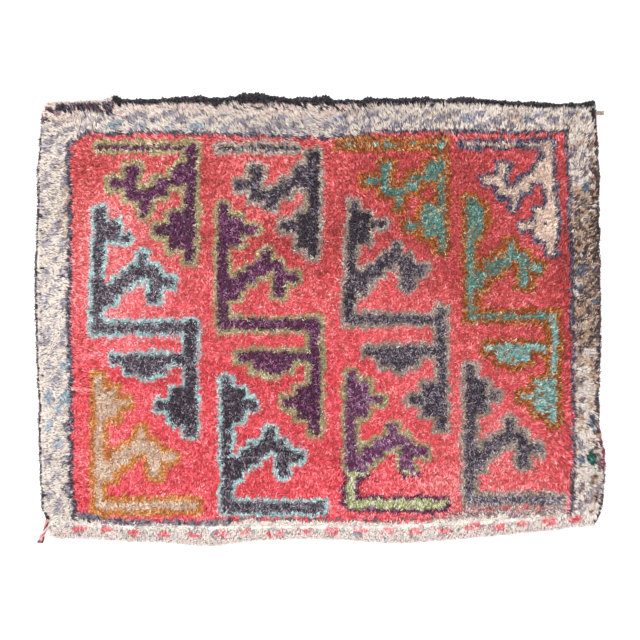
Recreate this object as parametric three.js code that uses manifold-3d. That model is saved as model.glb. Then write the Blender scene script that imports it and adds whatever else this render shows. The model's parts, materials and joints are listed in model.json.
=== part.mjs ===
// A small Bergama rug lying flat with its pile up. One lumpy slab is the woven ground with its knotted pile,
// with locks of pile at its rim. Dark overcast cords run along three of its edges, and a yarn end hangs loose
// at two corners. Millimetres, +Z up, +Y towards the edge with the thick cord.

import * as THREE from "three";
import { mergeVertices } from "three/addons/utils/BufferGeometryUtils.js";
import Module from "manifold-3d";

const wasm = await Module();
wasm.setup();

// Driving dimensions.
const CLEARANCE = 0.3;
const PILE = {
  height: 16,
  rimHeight: 6,
  shoulder: 18,
  lump: 1.4,
};

// The pile's soft heaps: two waves that cross and wander, and a lower slanting one. Lengths are millimetres
// a radian.
const HEAPS = {
  alongX: { length: 31, wander: 1.3, wanderLength: 47 },
  alongY: { length: 27, wander: 1.7, wanderLength: 53 },
  slanting: { length: 19, height: 0.7 },
};

// Grid lines of the slab: insets of the ones that round its shoulder, and how many cells lie between those.
const RIM_INSETS = [0, 5, 18];
const CELLS = { across: 34, up: 26 };

// The woven edge, counterclockwise from the lower left corner. It bows and wanders as hand weaving does.
const CORNERS = {
  lowerLeft: { x: -541, y: -414 },
  lowerRight: { x: 549, y: -398 },
  upperRight: { x: 545, y: 423 },
  upperLeft: { x: -549, y: 427 },
};
const BOTTOM_ROWS = [
  { x: -520, y: -425 },
  { x: -470, y: -424.5 },
  { x: -380, y: -429.5 },
  { x: -300, y: -434.5 },
  { x: -214, y: -439 },
  { x: -120, y: -429.5 },
  { x: -20, y: -424.5 },
  { x: 70, y: -428.5 },
  { x: 160, y: -433 },
  { x: 270, y: -422.5 },
  { x: 360, y: -418.5 },
  { x: 440, y: -409 },
  { x: 500, y: -402 },
];
const RIGHT_ROWS = [
  { x: 559, y: -370 },
  { x: 563, y: -290 },
  { x: 554, y: -225 },
  { x: 551, y: -188 },
  { x: 555.5, y: -75 },
  { x: 555.5, y: 110 },
  { x: 552.5, y: 200 },
  { x: 553, y: 265 },
  { x: 551, y: 330 },
  { x: 547.5, y: 390 },
];
const TOP_ROWS = [
  { x: 450, y: 423.5 },
  { x: 370, y: 427 },
  { x: 290, y: 431 },
  { x: 160, y: 430.5 },
  { x: 40, y: 430.5 },
  { x: -120, y: 434.5 },
  { x: -280, y: 432.5 },
  { x: -430, y: 431 },
];
const LEFT_ROWS = [
  { x: -555, y: 340 },
  { x: -559.5, y: 285 },
  { x: -558, y: 250 },
  { x: -563, y: 100 },
  { x: -562, y: 0 },
  { x: -559.5, y: -100 },
  { x: -554.5, y: -170 },
  { x: -557, y: -195 },
  { x: -554.5, y: -250 },
  { x: -552, y: -340 },
  { x: -547, y: -390 },
];

// Half the width of each overcast cord, by the distance along its edge in the edge's own direction.
const TOP_CORD_ROWS = [
  { along: 0, half: 6.8 },
  { along: 8, half: 7.6 },
  { along: 28, half: 5.2 },
  { along: 92, half: 4.9 },
  { along: 136, half: 6.0 },
  { along: 172, half: 5.2 },
  { along: 208, half: 6.0 },
  { along: 248, half: 7.1 },
  { along: 292, half: 5.7 },
  { along: 344, half: 7.3 },
  { along: 362, half: 4.3 },
  { along: 420, half: 6.9 },
  { along: 472, half: 5.4 },
  { along: 502, half: 4.1 },
  { along: 532, half: 7.0 },
  { along: 564, half: 6.7 },
  { along: 604, half: 4.7 },
  { along: 662, half: 8.3 },
  { along: 702, half: 7.5 },
  { along: 736, half: 4.3 },
  { along: 778, half: 7.1 },
  { along: 822, half: 5.7 },
  { along: 926, half: 5.0 },
  { along: 938, half: 3.3 },
  { along: 956, half: 6.9 },
  { along: 974, half: 4.4 },
  { along: 1091, half: 3.6 },
];
const RIGHT_CORD_ROWS = [
  { along: 12, half: 3.4 },
  { along: 120, half: 3.9 },
  { along: 190, half: 2.9 },
  { along: 330, half: 3.3 },
  { along: 520, half: 3.0 },
  { along: 660, half: 3.5 },
  { along: 822, half: 3.1 },
];
const LEFT_CORD_ROWS = [
  { along: 14, half: 2.6 },
  { along: 150, half: 3.1 },
  { along: 230, half: 2.5 },
  { along: 360, half: 3.0 },
  { along: 520, half: 2.6 },
  { along: 640, half: 3.1 },
  { along: 780, half: 2.5 },
  { along: 806, half: 3.9 },
  { along: 824, half: 3.0 },
];
const CORD = { sides: 8, step: 12, heightShare: 0.62, leastRise: 1.2, endWidth: 0.55, endHeight: 0.7 };

// Locks of pile at the rim. Over a cord they lie on it, and past a bare edge they lie on the floor.
const LOCK = { pitch: 17, width: 9, tipWidth: 3.2, thickness: 5, tipThickness: 2.4, root: 9, swing: 0.35 };

// A lock past a bare edge: its root's and rim's feet above the floor, and its knee as a share of its reach.
const BARE_LOCK = {
  reach: 12.5,
  unevenness: 0.28,
  root: { foot: 3.2, taper: 0.15 },
  rim: { reach: 2.5, foot: 1.2, taper: 0 },
  knee: { share: 0.55, taper: 0.15 },
};

// A lock over a cord: its reach counts in the cord's half widths, and its knee is a share of that reach.
const CORD_LOCK = {
  halves: 1.35,
  unevenness: 0.45,
  swingShare: 0.4,
  nearby: 0.6,
  root: { highest: 7, taper: 0.3 },
  rim: { reach: -0.5, taper: 0.15 },
  knee: { share: 0.5, taper: 0.35 },
};
const CORNER_MARGIN = 13;
const YARN_MARGIN = 26;

// Loose yarn ends. Each is a wrapped root with spread plies, which lie on the floor.
const LOWER_YARN = {
  name: "yarn_end_lower_left",
  rootRadius: 3.6,
  heading: -110,
  length: 42,
  plies: 5,
  plyWidth: 1.6,
  spread: 9.5,
  bend: 5,
};
const UPPER_YARN = {
  name: "yarn_end_upper_right",
  rootRadius: 2.8,
  heading: 8,
  length: 20,
  plies: 4,
  plyWidth: 1.4,
  spread: 8,
  bend: -2,
};

// A yarn end's wrapped root has rings at these shares of its radius, and thins towards both of its ends.
const KNOB = { sides: 8, rings: [-0.92, -0.55, 0, 0.6, 1.15], reach: 1.45, leastGirth: 0.12 };

// A ply has a section at each of these shares of its length. It leaves the root high up and soon lies down.
const PLY = {
  sections: [0.02, 0.12, 0.3, 0.65, 1],
  rootFan: 0.95,
  rootHeight: 0.55,
  landing: 0.3,
  narrowing: 0.35,
  thinning: 0.3,
  topWidth: 0.7,
  unevenness: 0.12,
};
const LOWER_YARN_FROM_CORNER = 5;
const UPPER_YARN_BELOW_CORNER = 13;

const material = (color, roughness = 0.95) =>
  new THREE.MeshStandardMaterial({ color, roughness, metalness: 0 });
const WOOL = {
  pile: material(0xe0505a),
  darkCord: material(0x2c2830),
  plumCord: material(0x4a303c),
  pinkYarn: material(0xb0485a),
  beigeYarn: material(0xc8a890),
};

// A repeatable uneven number from -1 to 1: what is left of a long wave when its whole part is dropped.
const WAVE = { step: 12.9898, start: 4.1, height: 43758.5453 };
const SEEDS = { perSide: 1000, swing: 500, ply: 7 };
const MERGE_WITHIN = 1e-4;

function uneven(seed) {
  const wave = Math.sin(seed * WAVE.step + WAVE.start) * WAVE.height;
  return 2 * (wave - Math.floor(wave)) - 1;
}

// One side of the outline as a smooth curve through its rows, between two corners.
function side(from, rows, to) {
  return new THREE.SplineCurve([from, ...rows, to].map(({ x, y }) => new THREE.Vector2(x, y)));
}

const SIDES = {
  bottom: side(CORNERS.lowerLeft, BOTTOM_ROWS, CORNERS.lowerRight),
  right: side(CORNERS.lowerRight, RIGHT_ROWS, CORNERS.upperRight),
  top: side(CORNERS.upperRight, TOP_ROWS, CORNERS.upperLeft),
  left: side(CORNERS.upperLeft, LEFT_ROWS, CORNERS.lowerLeft),
};

// Grid lines over a side's length, each with its share of that length and its inset from the nearer end.
function gridLines(length, cells) {
  const inner = RIM_INSETS.at(-1);
  const near = RIM_INSETS.map((inset) => ({ share: inset / length, inset }));
  const far = near.map(({ share, inset }) => ({ share: 1 - share, inset })).reverse();
  const between = Array.from({ length: cells - 1 }, (_, i) => ({
    share: (inner + ((i + 1) * (length - 2 * inner)) / cells) / length,
    inset: inner,
  }));
  return [...near, ...between, ...far];
}

const COLUMNS = gridLines(SIDES.bottom.getLength(), CELLS.across);
const ROWS = gridLines(SIDES.left.getLength(), CELLS.up);

// Each side as the slab has it, straight between its grid lines, with the way out of the rug at each.
function rimStations(curve, lines) {
  return lines.map(({ share }) => {
    const tangent = curve.getTangentAt(share);
    return {
      along: share * curve.getLength(),
      point: curve.getPointAt(share),
      out: new THREE.Vector2(tangent.y, -tangent.x),
    };
  });
}

const RIM = {
  bottom: rimStations(SIDES.bottom, COLUMNS),
  right: rimStations(SIDES.right, ROWS),
  top: rimStations(SIDES.top, COLUMNS),
  left: rimStations(SIDES.left, ROWS),
};

const sideLength = (name) => RIM[name].at(-1).along;

// The point a distance along a side, and the way out of the rug there.
function edgeAt(name, along) {
  const stations = RIM[name];
  const found = stations.findIndex((station) => station.along >= along);
  const next = Math.max(found < 0 ? stations.length - 1 : found, 1);
  const [before, after] = [stations[next - 1], stations[next]];
  const share = (along - before.along) / (after.along - before.along);
  return {
    point: before.point.clone().lerp(after.point, share),
    out: before.out.clone().lerp(after.out, share).normalize(),
  };
}

// A closed body through rings of points. Each ring turns right-handed about the way to the next one.
function tube(rings) {
  const sides = rings[0].length;
  const faces = [];
  for (let k = 0; k + 1 < rings.length; k++) {
    for (let i = 0; i < sides; i++) {
      const here = k * sides + i;
      const beside = k * sides + ((i + 1) % sides);
      faces.push(here, beside, beside + sides, here, beside + sides, here + sides);
    }
  }
  const last = (rings.length - 1) * sides;
  for (let i = 1; i + 1 < sides; i++) {
    faces.push(0, i + 1, i, last, last + i, last + i + 1);
  }
  return meshOf(rings.flat(), faces);
}

function meshOf(points, faces) {
  const geometry = new THREE.BufferGeometry().setFromPoints(points);
  geometry.setIndex(faces);
  return geometry;
}

// Two vectors across a level heading, in the order that turns right-handed about it.
function across(heading) {
  return [new THREE.Vector3(-heading.y, heading.x, 0), new THREE.Vector3(0, 0, 1)];
}

// Joins closed bodies into one.
function join(geometries) {
  const solids = geometries.map((geometry) => {
    const merged = mergeVertices(geometry, MERGE_WITHIN);
    return new wasm.Manifold(
      new wasm.Mesh({
        numProp: 3,
        vertProperties: new Float32Array(merged.attributes.position.array),
        triVerts: new Uint32Array(merged.index.array),
      }),
    );
  });
  const mesh = solids.reduce((whole, next) => whole.add(next)).getMesh();
  const geometry = new THREE.BufferGeometry();
  geometry.setAttribute("position", new THREE.BufferAttribute(mesh.vertProperties, 3));
  geometry.setIndex(new THREE.BufferAttribute(mesh.triVerts, 1));
  return geometry;
}

// The slab: a flat underside, an upright woven rim, a round shoulder and a lumpy pile.

// A point of the rug's plan, from shares of its width and height, blended from its four sides.
function planPoint(u, v) {
  const [bottom, top] = [SIDES.bottom.getPointAt(u), SIDES.top.getPointAt(1 - u)];
  const [left, right] = [SIDES.left.getPointAt(1 - v), SIDES.right.getPointAt(v)];
  const blend = (name) => {
    const low = THREE.MathUtils.lerp(CORNERS.lowerLeft[name], CORNERS.lowerRight[name], u);
    const high = THREE.MathUtils.lerp(CORNERS.upperLeft[name], CORNERS.upperRight[name], u);
    return (
      THREE.MathUtils.lerp(bottom[name], top[name], v) +
      THREE.MathUtils.lerp(left[name], right[name], u) -
      THREE.MathUtils.lerp(low, high, v)
    );
  };
  return new THREE.Vector2(blend("x"), blend("y"));
}

// The pile rises from the rim over a quarter circle, and its tufts lie in soft heaps.
function pileTop(x, y, insetAcross, insetUp) {
  const rise = (inset) => Math.sqrt(1 - (1 - Math.min(inset / PILE.shoulder, 1)) ** 2);
  const { alongX, alongY, slanting } = HEAPS;
  const heaps =
    Math.sin(x / alongX.length + alongX.wander * Math.sin(y / alongX.wanderLength)) +
    Math.sin(y / alongY.length + alongY.wander * Math.sin(x / alongY.wanderLength)) +
    slanting.height * Math.sin((x + y) / slanting.length);
  const full = PILE.height - PILE.rimHeight + (PILE.lump * heaps) / (2 + slanting.height);
  return PILE.rimHeight + full * rise(insetAcross) * rise(insetUp);
}

function slab() {
  const points = [];
  const faces = [];
  for (const row of ROWS) {
    for (const column of COLUMNS) {
      const { x, y } = planPoint(column.share, row.share);
      points.push(new THREE.Vector3(x, y, pileTop(x, y, column.inset, row.inset)));
    }
  }
  const width = COLUMNS.length;
  const height = ROWS.length;
  for (let j = 0; j + 1 < height; j++) {
    for (let i = 0; i + 1 < width; i++) {
      const here = j * width + i;
      faces.push(here, here + 1, here + width + 1, here, here + width + 1, here + width);
    }
  }
  const rim = [
    ...Array.from({ length: width - 1 }, (_, i) => i),
    ...Array.from({ length: height - 1 }, (_, j) => j * width + width - 1),
    ...Array.from({ length: width - 1 }, (_, i) => width * height - 1 - i),
    ...Array.from({ length: height - 1 }, (_, j) => (height - 1 - j) * width),
  ];
  const foot = points.length;
  rim.forEach((index, i) => {
    const next = (i + 1) % rim.length;
    points.push(new THREE.Vector3(points[index].x, points[index].y, 0));
    faces.push(foot + i, foot + next, rim[next], foot + i, rim[next], index);
  });
  const outline = rim.map((index) => new THREE.Vector2(points[index].x, points[index].y));
  for (const [a, b, c] of THREE.ShapeUtils.triangulateShape(outline, [])) {
    faces.push(foot + a, foot + c, foot + b);
  }
  return meshOf(points, faces);
}

// The overcast cords: lumpy, a little flattened, lying on the floor along the woven edge.

// A cord's half width at a distance along its edge.
function halfWidth(rows, along) {
  const next = rows.findIndex((row) => row.along >= along);
  if (next <= 0) return next === 0 ? rows[0].half : rows.at(-1).half;
  const [before, after] = [rows[next - 1], rows[next]];
  return THREE.MathUtils.mapLinear(
    THREE.MathUtils.smoothstep(along, before.along, after.along),
    0,
    1,
    before.half,
    after.half,
  );
}

const halfHeight = (half) => CORD.leastRise + CORD.heightShare * half;

// Distances along a side for a cord's rings: its two ends, and even steps between the grid lines it passes.
function ringPlaces(name, start, end) {
  const inside = RIM[name].map(({ along }) => along).filter((along) => along > start + 1 && along < end - 1);
  const marks = [start, ...inside, end];
  return marks.slice(1).flatMap((mark, i) => {
    const steps = Math.max(Math.round((mark - marks[i]) / CORD.step), 1);
    return Array.from({ length: steps }, (_, k) => THREE.MathUtils.lerp(marks[i], mark, (k + 1) / steps));
  });
}

function cord(name, rows) {
  const [start, end] = [rows[0].along, Math.min(rows.at(-1).along, sideLength(name))];
  const rings = [];
  for (const along of [start, ...ringPlaces(name, start, end)]) {
    const { point, out } = edgeAt(name, along);
    const atEnd = along === start || along === end;
    const wide = halfWidth(rows, along);
    const half = wide * (atEnd ? CORD.endWidth : 1);
    const high = halfHeight(wide) * (atEnd ? CORD.endHeight : 1);
    const middle = point.addScaledVector(out, wide + CLEARANCE);
    const [beside, up] = across(new THREE.Vector2(-out.y, out.x));
    const flat = Math.cos(Math.PI / CORD.sides);
    rings.push(
      Array.from({ length: CORD.sides }, (_, i) => {
        const turn = (2 * Math.PI * (i + 0.5)) / CORD.sides - Math.PI / 2;
        return new THREE.Vector3(middle.x, middle.y, high)
          .addScaledVector(beside, half * Math.cos(turn))
          .addScaledVector(up, (high / flat) * Math.sin(turn));
      }),
    );
  }
  return tube(rings);
}

// A lock of pile: a three-sided body that tapers outwards, from a root inside the slab.
// Each station has its distance out from the woven edge, its foot's height and how far it has tapered.
function lock(point, out, turn, stations) {
  const heading = out.clone().rotateAround(new THREE.Vector2(), turn);
  const [beside] = across(heading);
  return tube(
    stations.map(({ reach, foot, taper }) => {
      const wide = THREE.MathUtils.lerp(LOCK.width, LOCK.tipWidth, taper) / 2;
      const thick = THREE.MathUtils.lerp(LOCK.thickness, LOCK.tipThickness, taper);
      const middle = new THREE.Vector3(point.x + heading.x * reach, point.y + heading.y * reach, foot);
      return [
        middle.clone().addScaledVector(beside, -wide),
        middle.clone().addScaledVector(beside, wide),
        middle.clone().add(new THREE.Vector3(0, 0, thick)),
      ];
    }),
  );
}

// Past a bare edge a lock dips to the floor and lies level on it.
function bareStations(seed) {
  const { root, rim, knee, unevenness } = BARE_LOCK;
  const reach = BARE_LOCK.reach * (1 + unevenness * uneven(seed));
  return [
    { reach: -LOCK.root, ...root },
    rim,
    { reach: knee.share * reach, foot: 0, taper: knee.taper },
    { reach, foot: 0, taper: 1 },
  ];
}

// Beside a cord a lock comes over it and lies level on it, and its tip stays on the cord.
function cordStations(half, seed) {
  const { root, rim, knee, halves, unevenness } = CORD_LOCK;
  const rest = 2 * halfHeight(half) + CLEARANCE;
  const reach = CLEARANCE + half * (halves + unevenness * uneven(seed));
  return [
    { reach: -LOCK.root, foot: Math.min(rest, root.highest), taper: root.taper },
    { reach: rim.reach, foot: rest, taper: rim.taper },
    { reach: knee.share * reach, foot: rest, taper: knee.taper },
    { reach, foot: rest, taper: 1 },
  ];
}

// Locks along one side, evenly pitched between its margins. A cord's lumps lift the locks that cross it.
function locksAlong(name, from, upTo, cordRows) {
  const end = sideLength(name) - upTo;
  const count = Math.round((end - from) / LOCK.pitch);
  const firstSeed = SEEDS.perSide * Object.keys(RIM).indexOf(name);
  return Array.from({ length: count + 1 }, (_, i) => {
    const seed = firstSeed + i;
    const along = THREE.MathUtils.lerp(from, end, i / count);
    const { point, out } = edgeAt(name, along);
    const swing = LOCK.swing * uneven(seed + SEEDS.swing);
    if (!cordRows) return lock(point, out, swing, bareStations(seed));
    const nearby = CORD_LOCK.nearby * LOCK.pitch;
    const half = Math.max(...[-nearby, 0, nearby].map((step) => halfWidth(cordRows, along + step)));
    return lock(point, out, CORD_LOCK.swingShare * swing, cordStations(half, seed));
  });
}

// A loose yarn end: a wrapped root seated beside the edge, with plies that spread from it.
function yarnEnd(seat, form) {
  const heading = new THREE.Vector2(1, 0).rotateAround(
    new THREE.Vector2(),
    THREE.MathUtils.degToRad(form.heading),
  );
  const [beside, up] = across(heading);
  const place = (reach, aside, height) =>
    new THREE.Vector3(seat.x + heading.x * reach, seat.y + heading.y * reach, height).addScaledVector(
      beside,
      aside,
    );
  const radius = form.rootRadius;
  const knob = KNOB.rings.map((reach) => {
    const girth = radius * Math.sqrt(Math.max(1 - reach ** 2 / KNOB.reach, KNOB.leastGirth));
    return Array.from({ length: KNOB.sides }, (_, i) => {
      const turn = (2 * Math.PI * (i + 0.5)) / KNOB.sides - Math.PI / 2;
      return place(reach * radius, 0, radius)
        .addScaledVector(beside, girth * Math.cos(turn))
        .addScaledVector(up, girth * Math.sin(turn));
    });
  });
  const plies = Array.from({ length: form.plies }, (_, i) => {
    const lane = (2 * i) / (form.plies - 1) - 1;
    const long = form.length * (1 - PLY.unevenness * Math.abs(uneven(i + SEEDS.ply)));
    return PLY.sections.map((share) => {
      const fan = THREE.MathUtils.lerp(radius * PLY.rootFan, form.spread / 2, share);
      const aside = lane * fan + form.bend * share ** 2;
      const wide = (form.plyWidth / 2) * (1 - PLY.narrowing * share);
      const landed = THREE.MathUtils.smoothstep(share, 0, PLY.landing);
      const foot = THREE.MathUtils.lerp(radius * PLY.rootHeight, 0, landed);
      const thick = form.plyWidth * (1 - PLY.thinning * share);
      return [
        place(long * share, aside - wide, foot),
        place(long * share, aside + wide, foot),
        place(long * share, aside + PLY.topWidth * wide, foot + thick),
        place(long * share, aside - PLY.topWidth * wide, foot + thick),
      ];
    });
  });
  return join([tube(knob), ...plies.map(tube)]);
}

function named(name, geometry, wool) {
  const mesh = new THREE.Mesh(geometry, wool);
  mesh.name = name;
  return mesh;
}

function rug() {
  const locks = [
    ...locksAlong("bottom", YARN_MARGIN, CORNER_MARGIN, null),
    ...locksAlong("right", CORNER_MARGIN, YARN_MARGIN, RIGHT_CORD_ROWS),
    ...locksAlong("top", CORNER_MARGIN, CORNER_MARGIN, TOP_CORD_ROWS),
    ...locksAlong("left", CORNER_MARGIN, YARN_MARGIN, LEFT_CORD_ROWS),
  ];
  return named("rug", join([slab(), ...locks]), WOOL.pile);
}

// The lower yarn end sits against the woven corner, past the end of the left cord.
function lowerYarnEnd() {
  const { point, out } = edgeAt("left", sideLength("left") - LOWER_YARN_FROM_CORNER);
  const seat = point.addScaledVector(out, LOWER_YARN.rootRadius + CLEARANCE);
  return named(LOWER_YARN.name, yarnEnd(seat, LOWER_YARN), WOOL.pinkYarn);
}

// The upper yarn end sits against the outside of the right cord, near its upper end.
function upperYarnEnd() {
  const along = sideLength("right") - UPPER_YARN_BELOW_CORNER;
  const { point, out } = edgeAt("right", along);
  const pastCord = 2 * halfWidth(RIGHT_CORD_ROWS, along) + 2 * CLEARANCE;
  const seat = point.addScaledVector(out, pastCord + UPPER_YARN.rootRadius);
  return named(UPPER_YARN.name, yarnEnd(seat, UPPER_YARN), WOOL.beigeYarn);
}

const whole = new THREE.Group();
whole.add(
  rug(),
  named("overcast_top", cord("top", TOP_CORD_ROWS), WOOL.darkCord),
  named("overcast_right", cord("right", RIGHT_CORD_ROWS), WOOL.plumCord),
  named("overcast_left", cord("left", LEFT_CORD_ROWS), WOOL.darkCord),
  lowerYarnEnd(),
  upperYarnEnd(),
);

// The origin is on the floor, under the middle of the whole rug.
const middle = new THREE.Box3().setFromObject(whole).getCenter(new THREE.Vector3());
whole.position.set(-middle.x, -middle.y, 0);

const bergamaRug = new THREE.Group();
bergamaRug.add(whole);
export default bergamaRug;
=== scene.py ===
"""A small Bergama rug lying flat with its pile up, seen from straight above.

The woven ground, its knotted pile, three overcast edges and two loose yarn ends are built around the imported
frame. The knots take their yarn from a chart of hooked motifs, drawn from blocks on squares of 2 mm.
"""

import json
import logging
import math
from dataclasses import dataclass, field
from enum import Enum, IntEnum

import bpy
import numpy as np
from numpy.typing import NDArray
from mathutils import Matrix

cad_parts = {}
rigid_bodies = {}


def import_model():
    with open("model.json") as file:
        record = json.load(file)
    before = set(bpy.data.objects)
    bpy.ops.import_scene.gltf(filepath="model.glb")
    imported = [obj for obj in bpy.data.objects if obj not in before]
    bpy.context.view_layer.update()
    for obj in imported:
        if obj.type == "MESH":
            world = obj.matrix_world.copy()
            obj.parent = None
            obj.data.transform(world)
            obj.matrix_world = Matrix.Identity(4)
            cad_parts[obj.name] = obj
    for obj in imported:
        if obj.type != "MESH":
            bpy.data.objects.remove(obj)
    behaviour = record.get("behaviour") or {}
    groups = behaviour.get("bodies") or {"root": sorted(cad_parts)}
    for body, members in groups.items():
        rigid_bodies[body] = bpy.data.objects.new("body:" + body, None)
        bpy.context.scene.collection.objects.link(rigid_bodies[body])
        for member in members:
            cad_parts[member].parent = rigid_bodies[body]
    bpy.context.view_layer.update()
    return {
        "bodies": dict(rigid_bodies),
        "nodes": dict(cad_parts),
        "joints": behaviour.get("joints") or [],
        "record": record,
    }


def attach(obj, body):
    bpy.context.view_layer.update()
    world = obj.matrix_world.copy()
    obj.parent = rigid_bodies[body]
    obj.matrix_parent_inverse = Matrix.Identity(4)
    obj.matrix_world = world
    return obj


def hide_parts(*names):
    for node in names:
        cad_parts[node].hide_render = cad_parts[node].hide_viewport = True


Array = NDArray[np.float64]
Numbers = NDArray[np.int64]
Draws = np.random.Generator
Piece = bpy.types.Object
Material = bpy.types.Material
Pair = tuple[float, float]
Rows = tuple[Pair, ...]
LOG = logging.getLogger("bergama_rug")
MM = 0.001
SQUARE = 2 * MM
SEED = 20261125
# No length below this one is divided by.
LEAST = 1e-6


class Yarn(IntEnum):
    """The yarns of the rug, each a row of the dye table."""

    RED = 0
    PINK = 1
    PURPLE = 2
    OLIVE = 3
    CHARCOAL = 4
    AQUA = 5
    TAUPE = 6
    TEAL = 7
    RUST = 8
    CREAM = 9
    TAN = 10
    NAVY = 11
    LAVENDER = 12
    SKY = 13
    BEIGE = 14
    OCHRE = 15
    GUARD = 16
    GREEN = 17
    BLUSH = 18
    BLACK = 19
    PLUM = 20
    MAUVE = 21
    WHEAT = 22
    MIST = 23
    ROSE = 24
    WINE = 25
    ASH = 26
    MOSS = 27
    SLATE = 28
    BARK = 29


@dataclass(frozen=True)
class Dye:
    """A yarn's display colour in hexadecimal, and the yarn that its stray fibres match.

    The share is that of its stray fibres, and uneven tells how far its tone varies, where 1 is usual.
    """

    shade: int
    stray: Yarn
    share: float
    uneven: float = 1.0


DYES: dict[Yarn, Dye] = {
    Yarn.RED: Dye(0xCD5253, Yarn.PINK, 0.05, 1.15),
    Yarn.PINK: Dye(0xF69696, Yarn.BLUSH, 0.1),
    Yarn.PURPLE: Dye(0x572044, Yarn.LAVENDER, 0.05, 1.35),
    Yarn.OLIVE: Dye(0xA89C70, Yarn.TAUPE, 0.12, 1.2),
    Yarn.CHARCOAL: Dye(0x372B36, Yarn.LAVENDER, 0.08, 1.4),
    Yarn.AQUA: Dye(0xB0CECF, Yarn.MIST, 0.14, 0.9),
    Yarn.TAUPE: Dye(0x9D8A7C, Yarn.ASH, 0.15, 1.15),
    Yarn.TEAL: Dye(0x568176, Yarn.RUST, 0.07, 1.3),
    Yarn.RUST: Dye(0x9A490F, Yarn.OLIVE, 0.12, 1.35),
    Yarn.CREAM: Dye(0xD9CDC3, Yarn.ASH, 0.03, 0.3),
    Yarn.TAN: Dye(0xB89A84, Yarn.CREAM, 0.08, 0.65),
    Yarn.NAVY: Dye(0x353C56, Yarn.MAUVE, 0.35, 1.3),
    Yarn.LAVENDER: Dye(0x8B848E, Yarn.ASH, 0.08, 0.6),
    Yarn.SKY: Dye(0x8AA0AE, Yarn.ASH, 0.16, 0.6),
    Yarn.BEIGE: Dye(0xC9AA93, Yarn.TAN, 0.1),
    Yarn.OCHRE: Dye(0xC87F3B, Yarn.BEIGE, 0.06, 1.15),
    Yarn.GUARD: Dye(0x423B4B, Yarn.LAVENDER, 0.1, 1.3),
    Yarn.GREEN: Dye(0x033C2D, Yarn.TEAL, 0.12, 1.2),
    Yarn.BLUSH: Dye(0xD6C0B8, Yarn.CREAM, 0.08, 0.3),
    Yarn.BLACK: Dye(0x151217, Yarn.CHARCOAL, 0.1),
    Yarn.PLUM: Dye(0x522530, Yarn.MAUVE, 0.1, 1.2),
    Yarn.MAUVE: Dye(0x876A6E, Yarn.BLUSH, 0.1),
    Yarn.WHEAT: Dye(0xDDC2B1, Yarn.TAN, 0.08, 0.9),
    Yarn.MIST: Dye(0x83AFA9, Yarn.RUST, 0.08, 1.3),
    Yarn.ROSE: Dye(0xE4505B, Yarn.PINK, 0.06, 1.15),
    Yarn.WINE: Dye(0x8C2A42, Yarn.PLUM, 0.1),
    Yarn.ASH: Dye(0xB7ACAE, Yarn.CREAM, 0.1, 0.35),
    Yarn.MOSS: Dye(0xA1A46F, Yarn.CREAM, 0.12, 1.2),
    Yarn.SLATE: Dye(0x59677C, Yarn.LAVENDER, 0.2, 1.1),
    Yarn.BARK: Dye(0x4B3732, Yarn.TAN, 0.12),
}


# The usual curve of display colours: a straight foot, and above it a power of the shifted value.
FOOT_END = 0.04045
FOOT_SLOPE = 12.92
SHIFT = 0.055
POWER = 2.4
BYTE = 255


def linear(display: Array) -> Array:
    """Turns display colours from 0 to 1 into linear ones, by the usual two-part curve.

    Args:
        display: Display colours.

    Returns:
        Linear colours of the same shape.
    """
    return np.where(display <= FOOT_END, display / FOOT_SLOPE, ((display + SHIFT) / (1 + SHIFT)) ** POWER)


def rgb(hexadecimal: int) -> Array:
    """Gives the linear red, green and blue of a display colour in hexadecimal."""
    parts = [(hexadecimal >> shift) & BYTE for shift in (16, 8, 0)]
    return linear(np.array(parts) / BYTE)


class DyeBath:
    """Turns yarns and tones into colours. A pale tone fades a yarn, and a deep one mostly darkens it."""

    pale_fade = 0.31
    pale_gain = 0.08
    deep_fade = 0.1
    deep_gain = 0.3
    pale_strays = 2.0
    palest_stray = 1.5
    tone_range = (-2.0, 1.8)
    brightest = 0.97

    def __init__(self) -> None:
        """Lays the yarns' colours in one table."""
        self.shades = np.array([rgb(DYES[yarn].shade) for yarn in Yarn])
        self.strays = np.array([DYES[yarn].stray for yarn in Yarn])
        self.shares = np.array([DYES[yarn].share for yarn in Yarn])
        self.uneven = np.array([DYES[yarn].uneven for yarn in Yarn])

    def flecked(self, yarns: Array, tones: Array, chance: Array) -> Array:
        """Spins stray fibres in: the yarn's share of them, and three times as many where it is pale.

        Args:
            yarns: Row of the dye table of each lock.
            tones: Tone of each lock.
            chance: A number from 0 to 1 drawn for each lock.

        Returns:
            The yarns with their strays.
        """
        share = self.shares[yarns] * (1 + self.pale_strays * np.clip(tones, 0, self.palest_stray))
        return np.where(chance < share, self.strays[yarns], yarns)

    def colours(self, yarns: Array, tones: Array) -> Array:
        """Takes each yarn's colour to the power one less fade times tone, times one and gain times tone.

        Args:
            yarns: Row of the dye table of each lock.
            tones: Tone of each lock: 0 is usual, 1 is pale and -1 is deep.

        Returns:
            One linear colour a lock.
        """
        tone = np.clip(tones, *self.tone_range)[:, None]
        fade = np.where(tone > 0, self.pale_fade, self.deep_fade)
        gain = np.where(tone > 0, self.pale_gain, self.deep_gain)
        return np.clip(self.shades[yarns] ** (1 - fade * tone) * (1 + gain * tone), 0, self.brightest)


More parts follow.
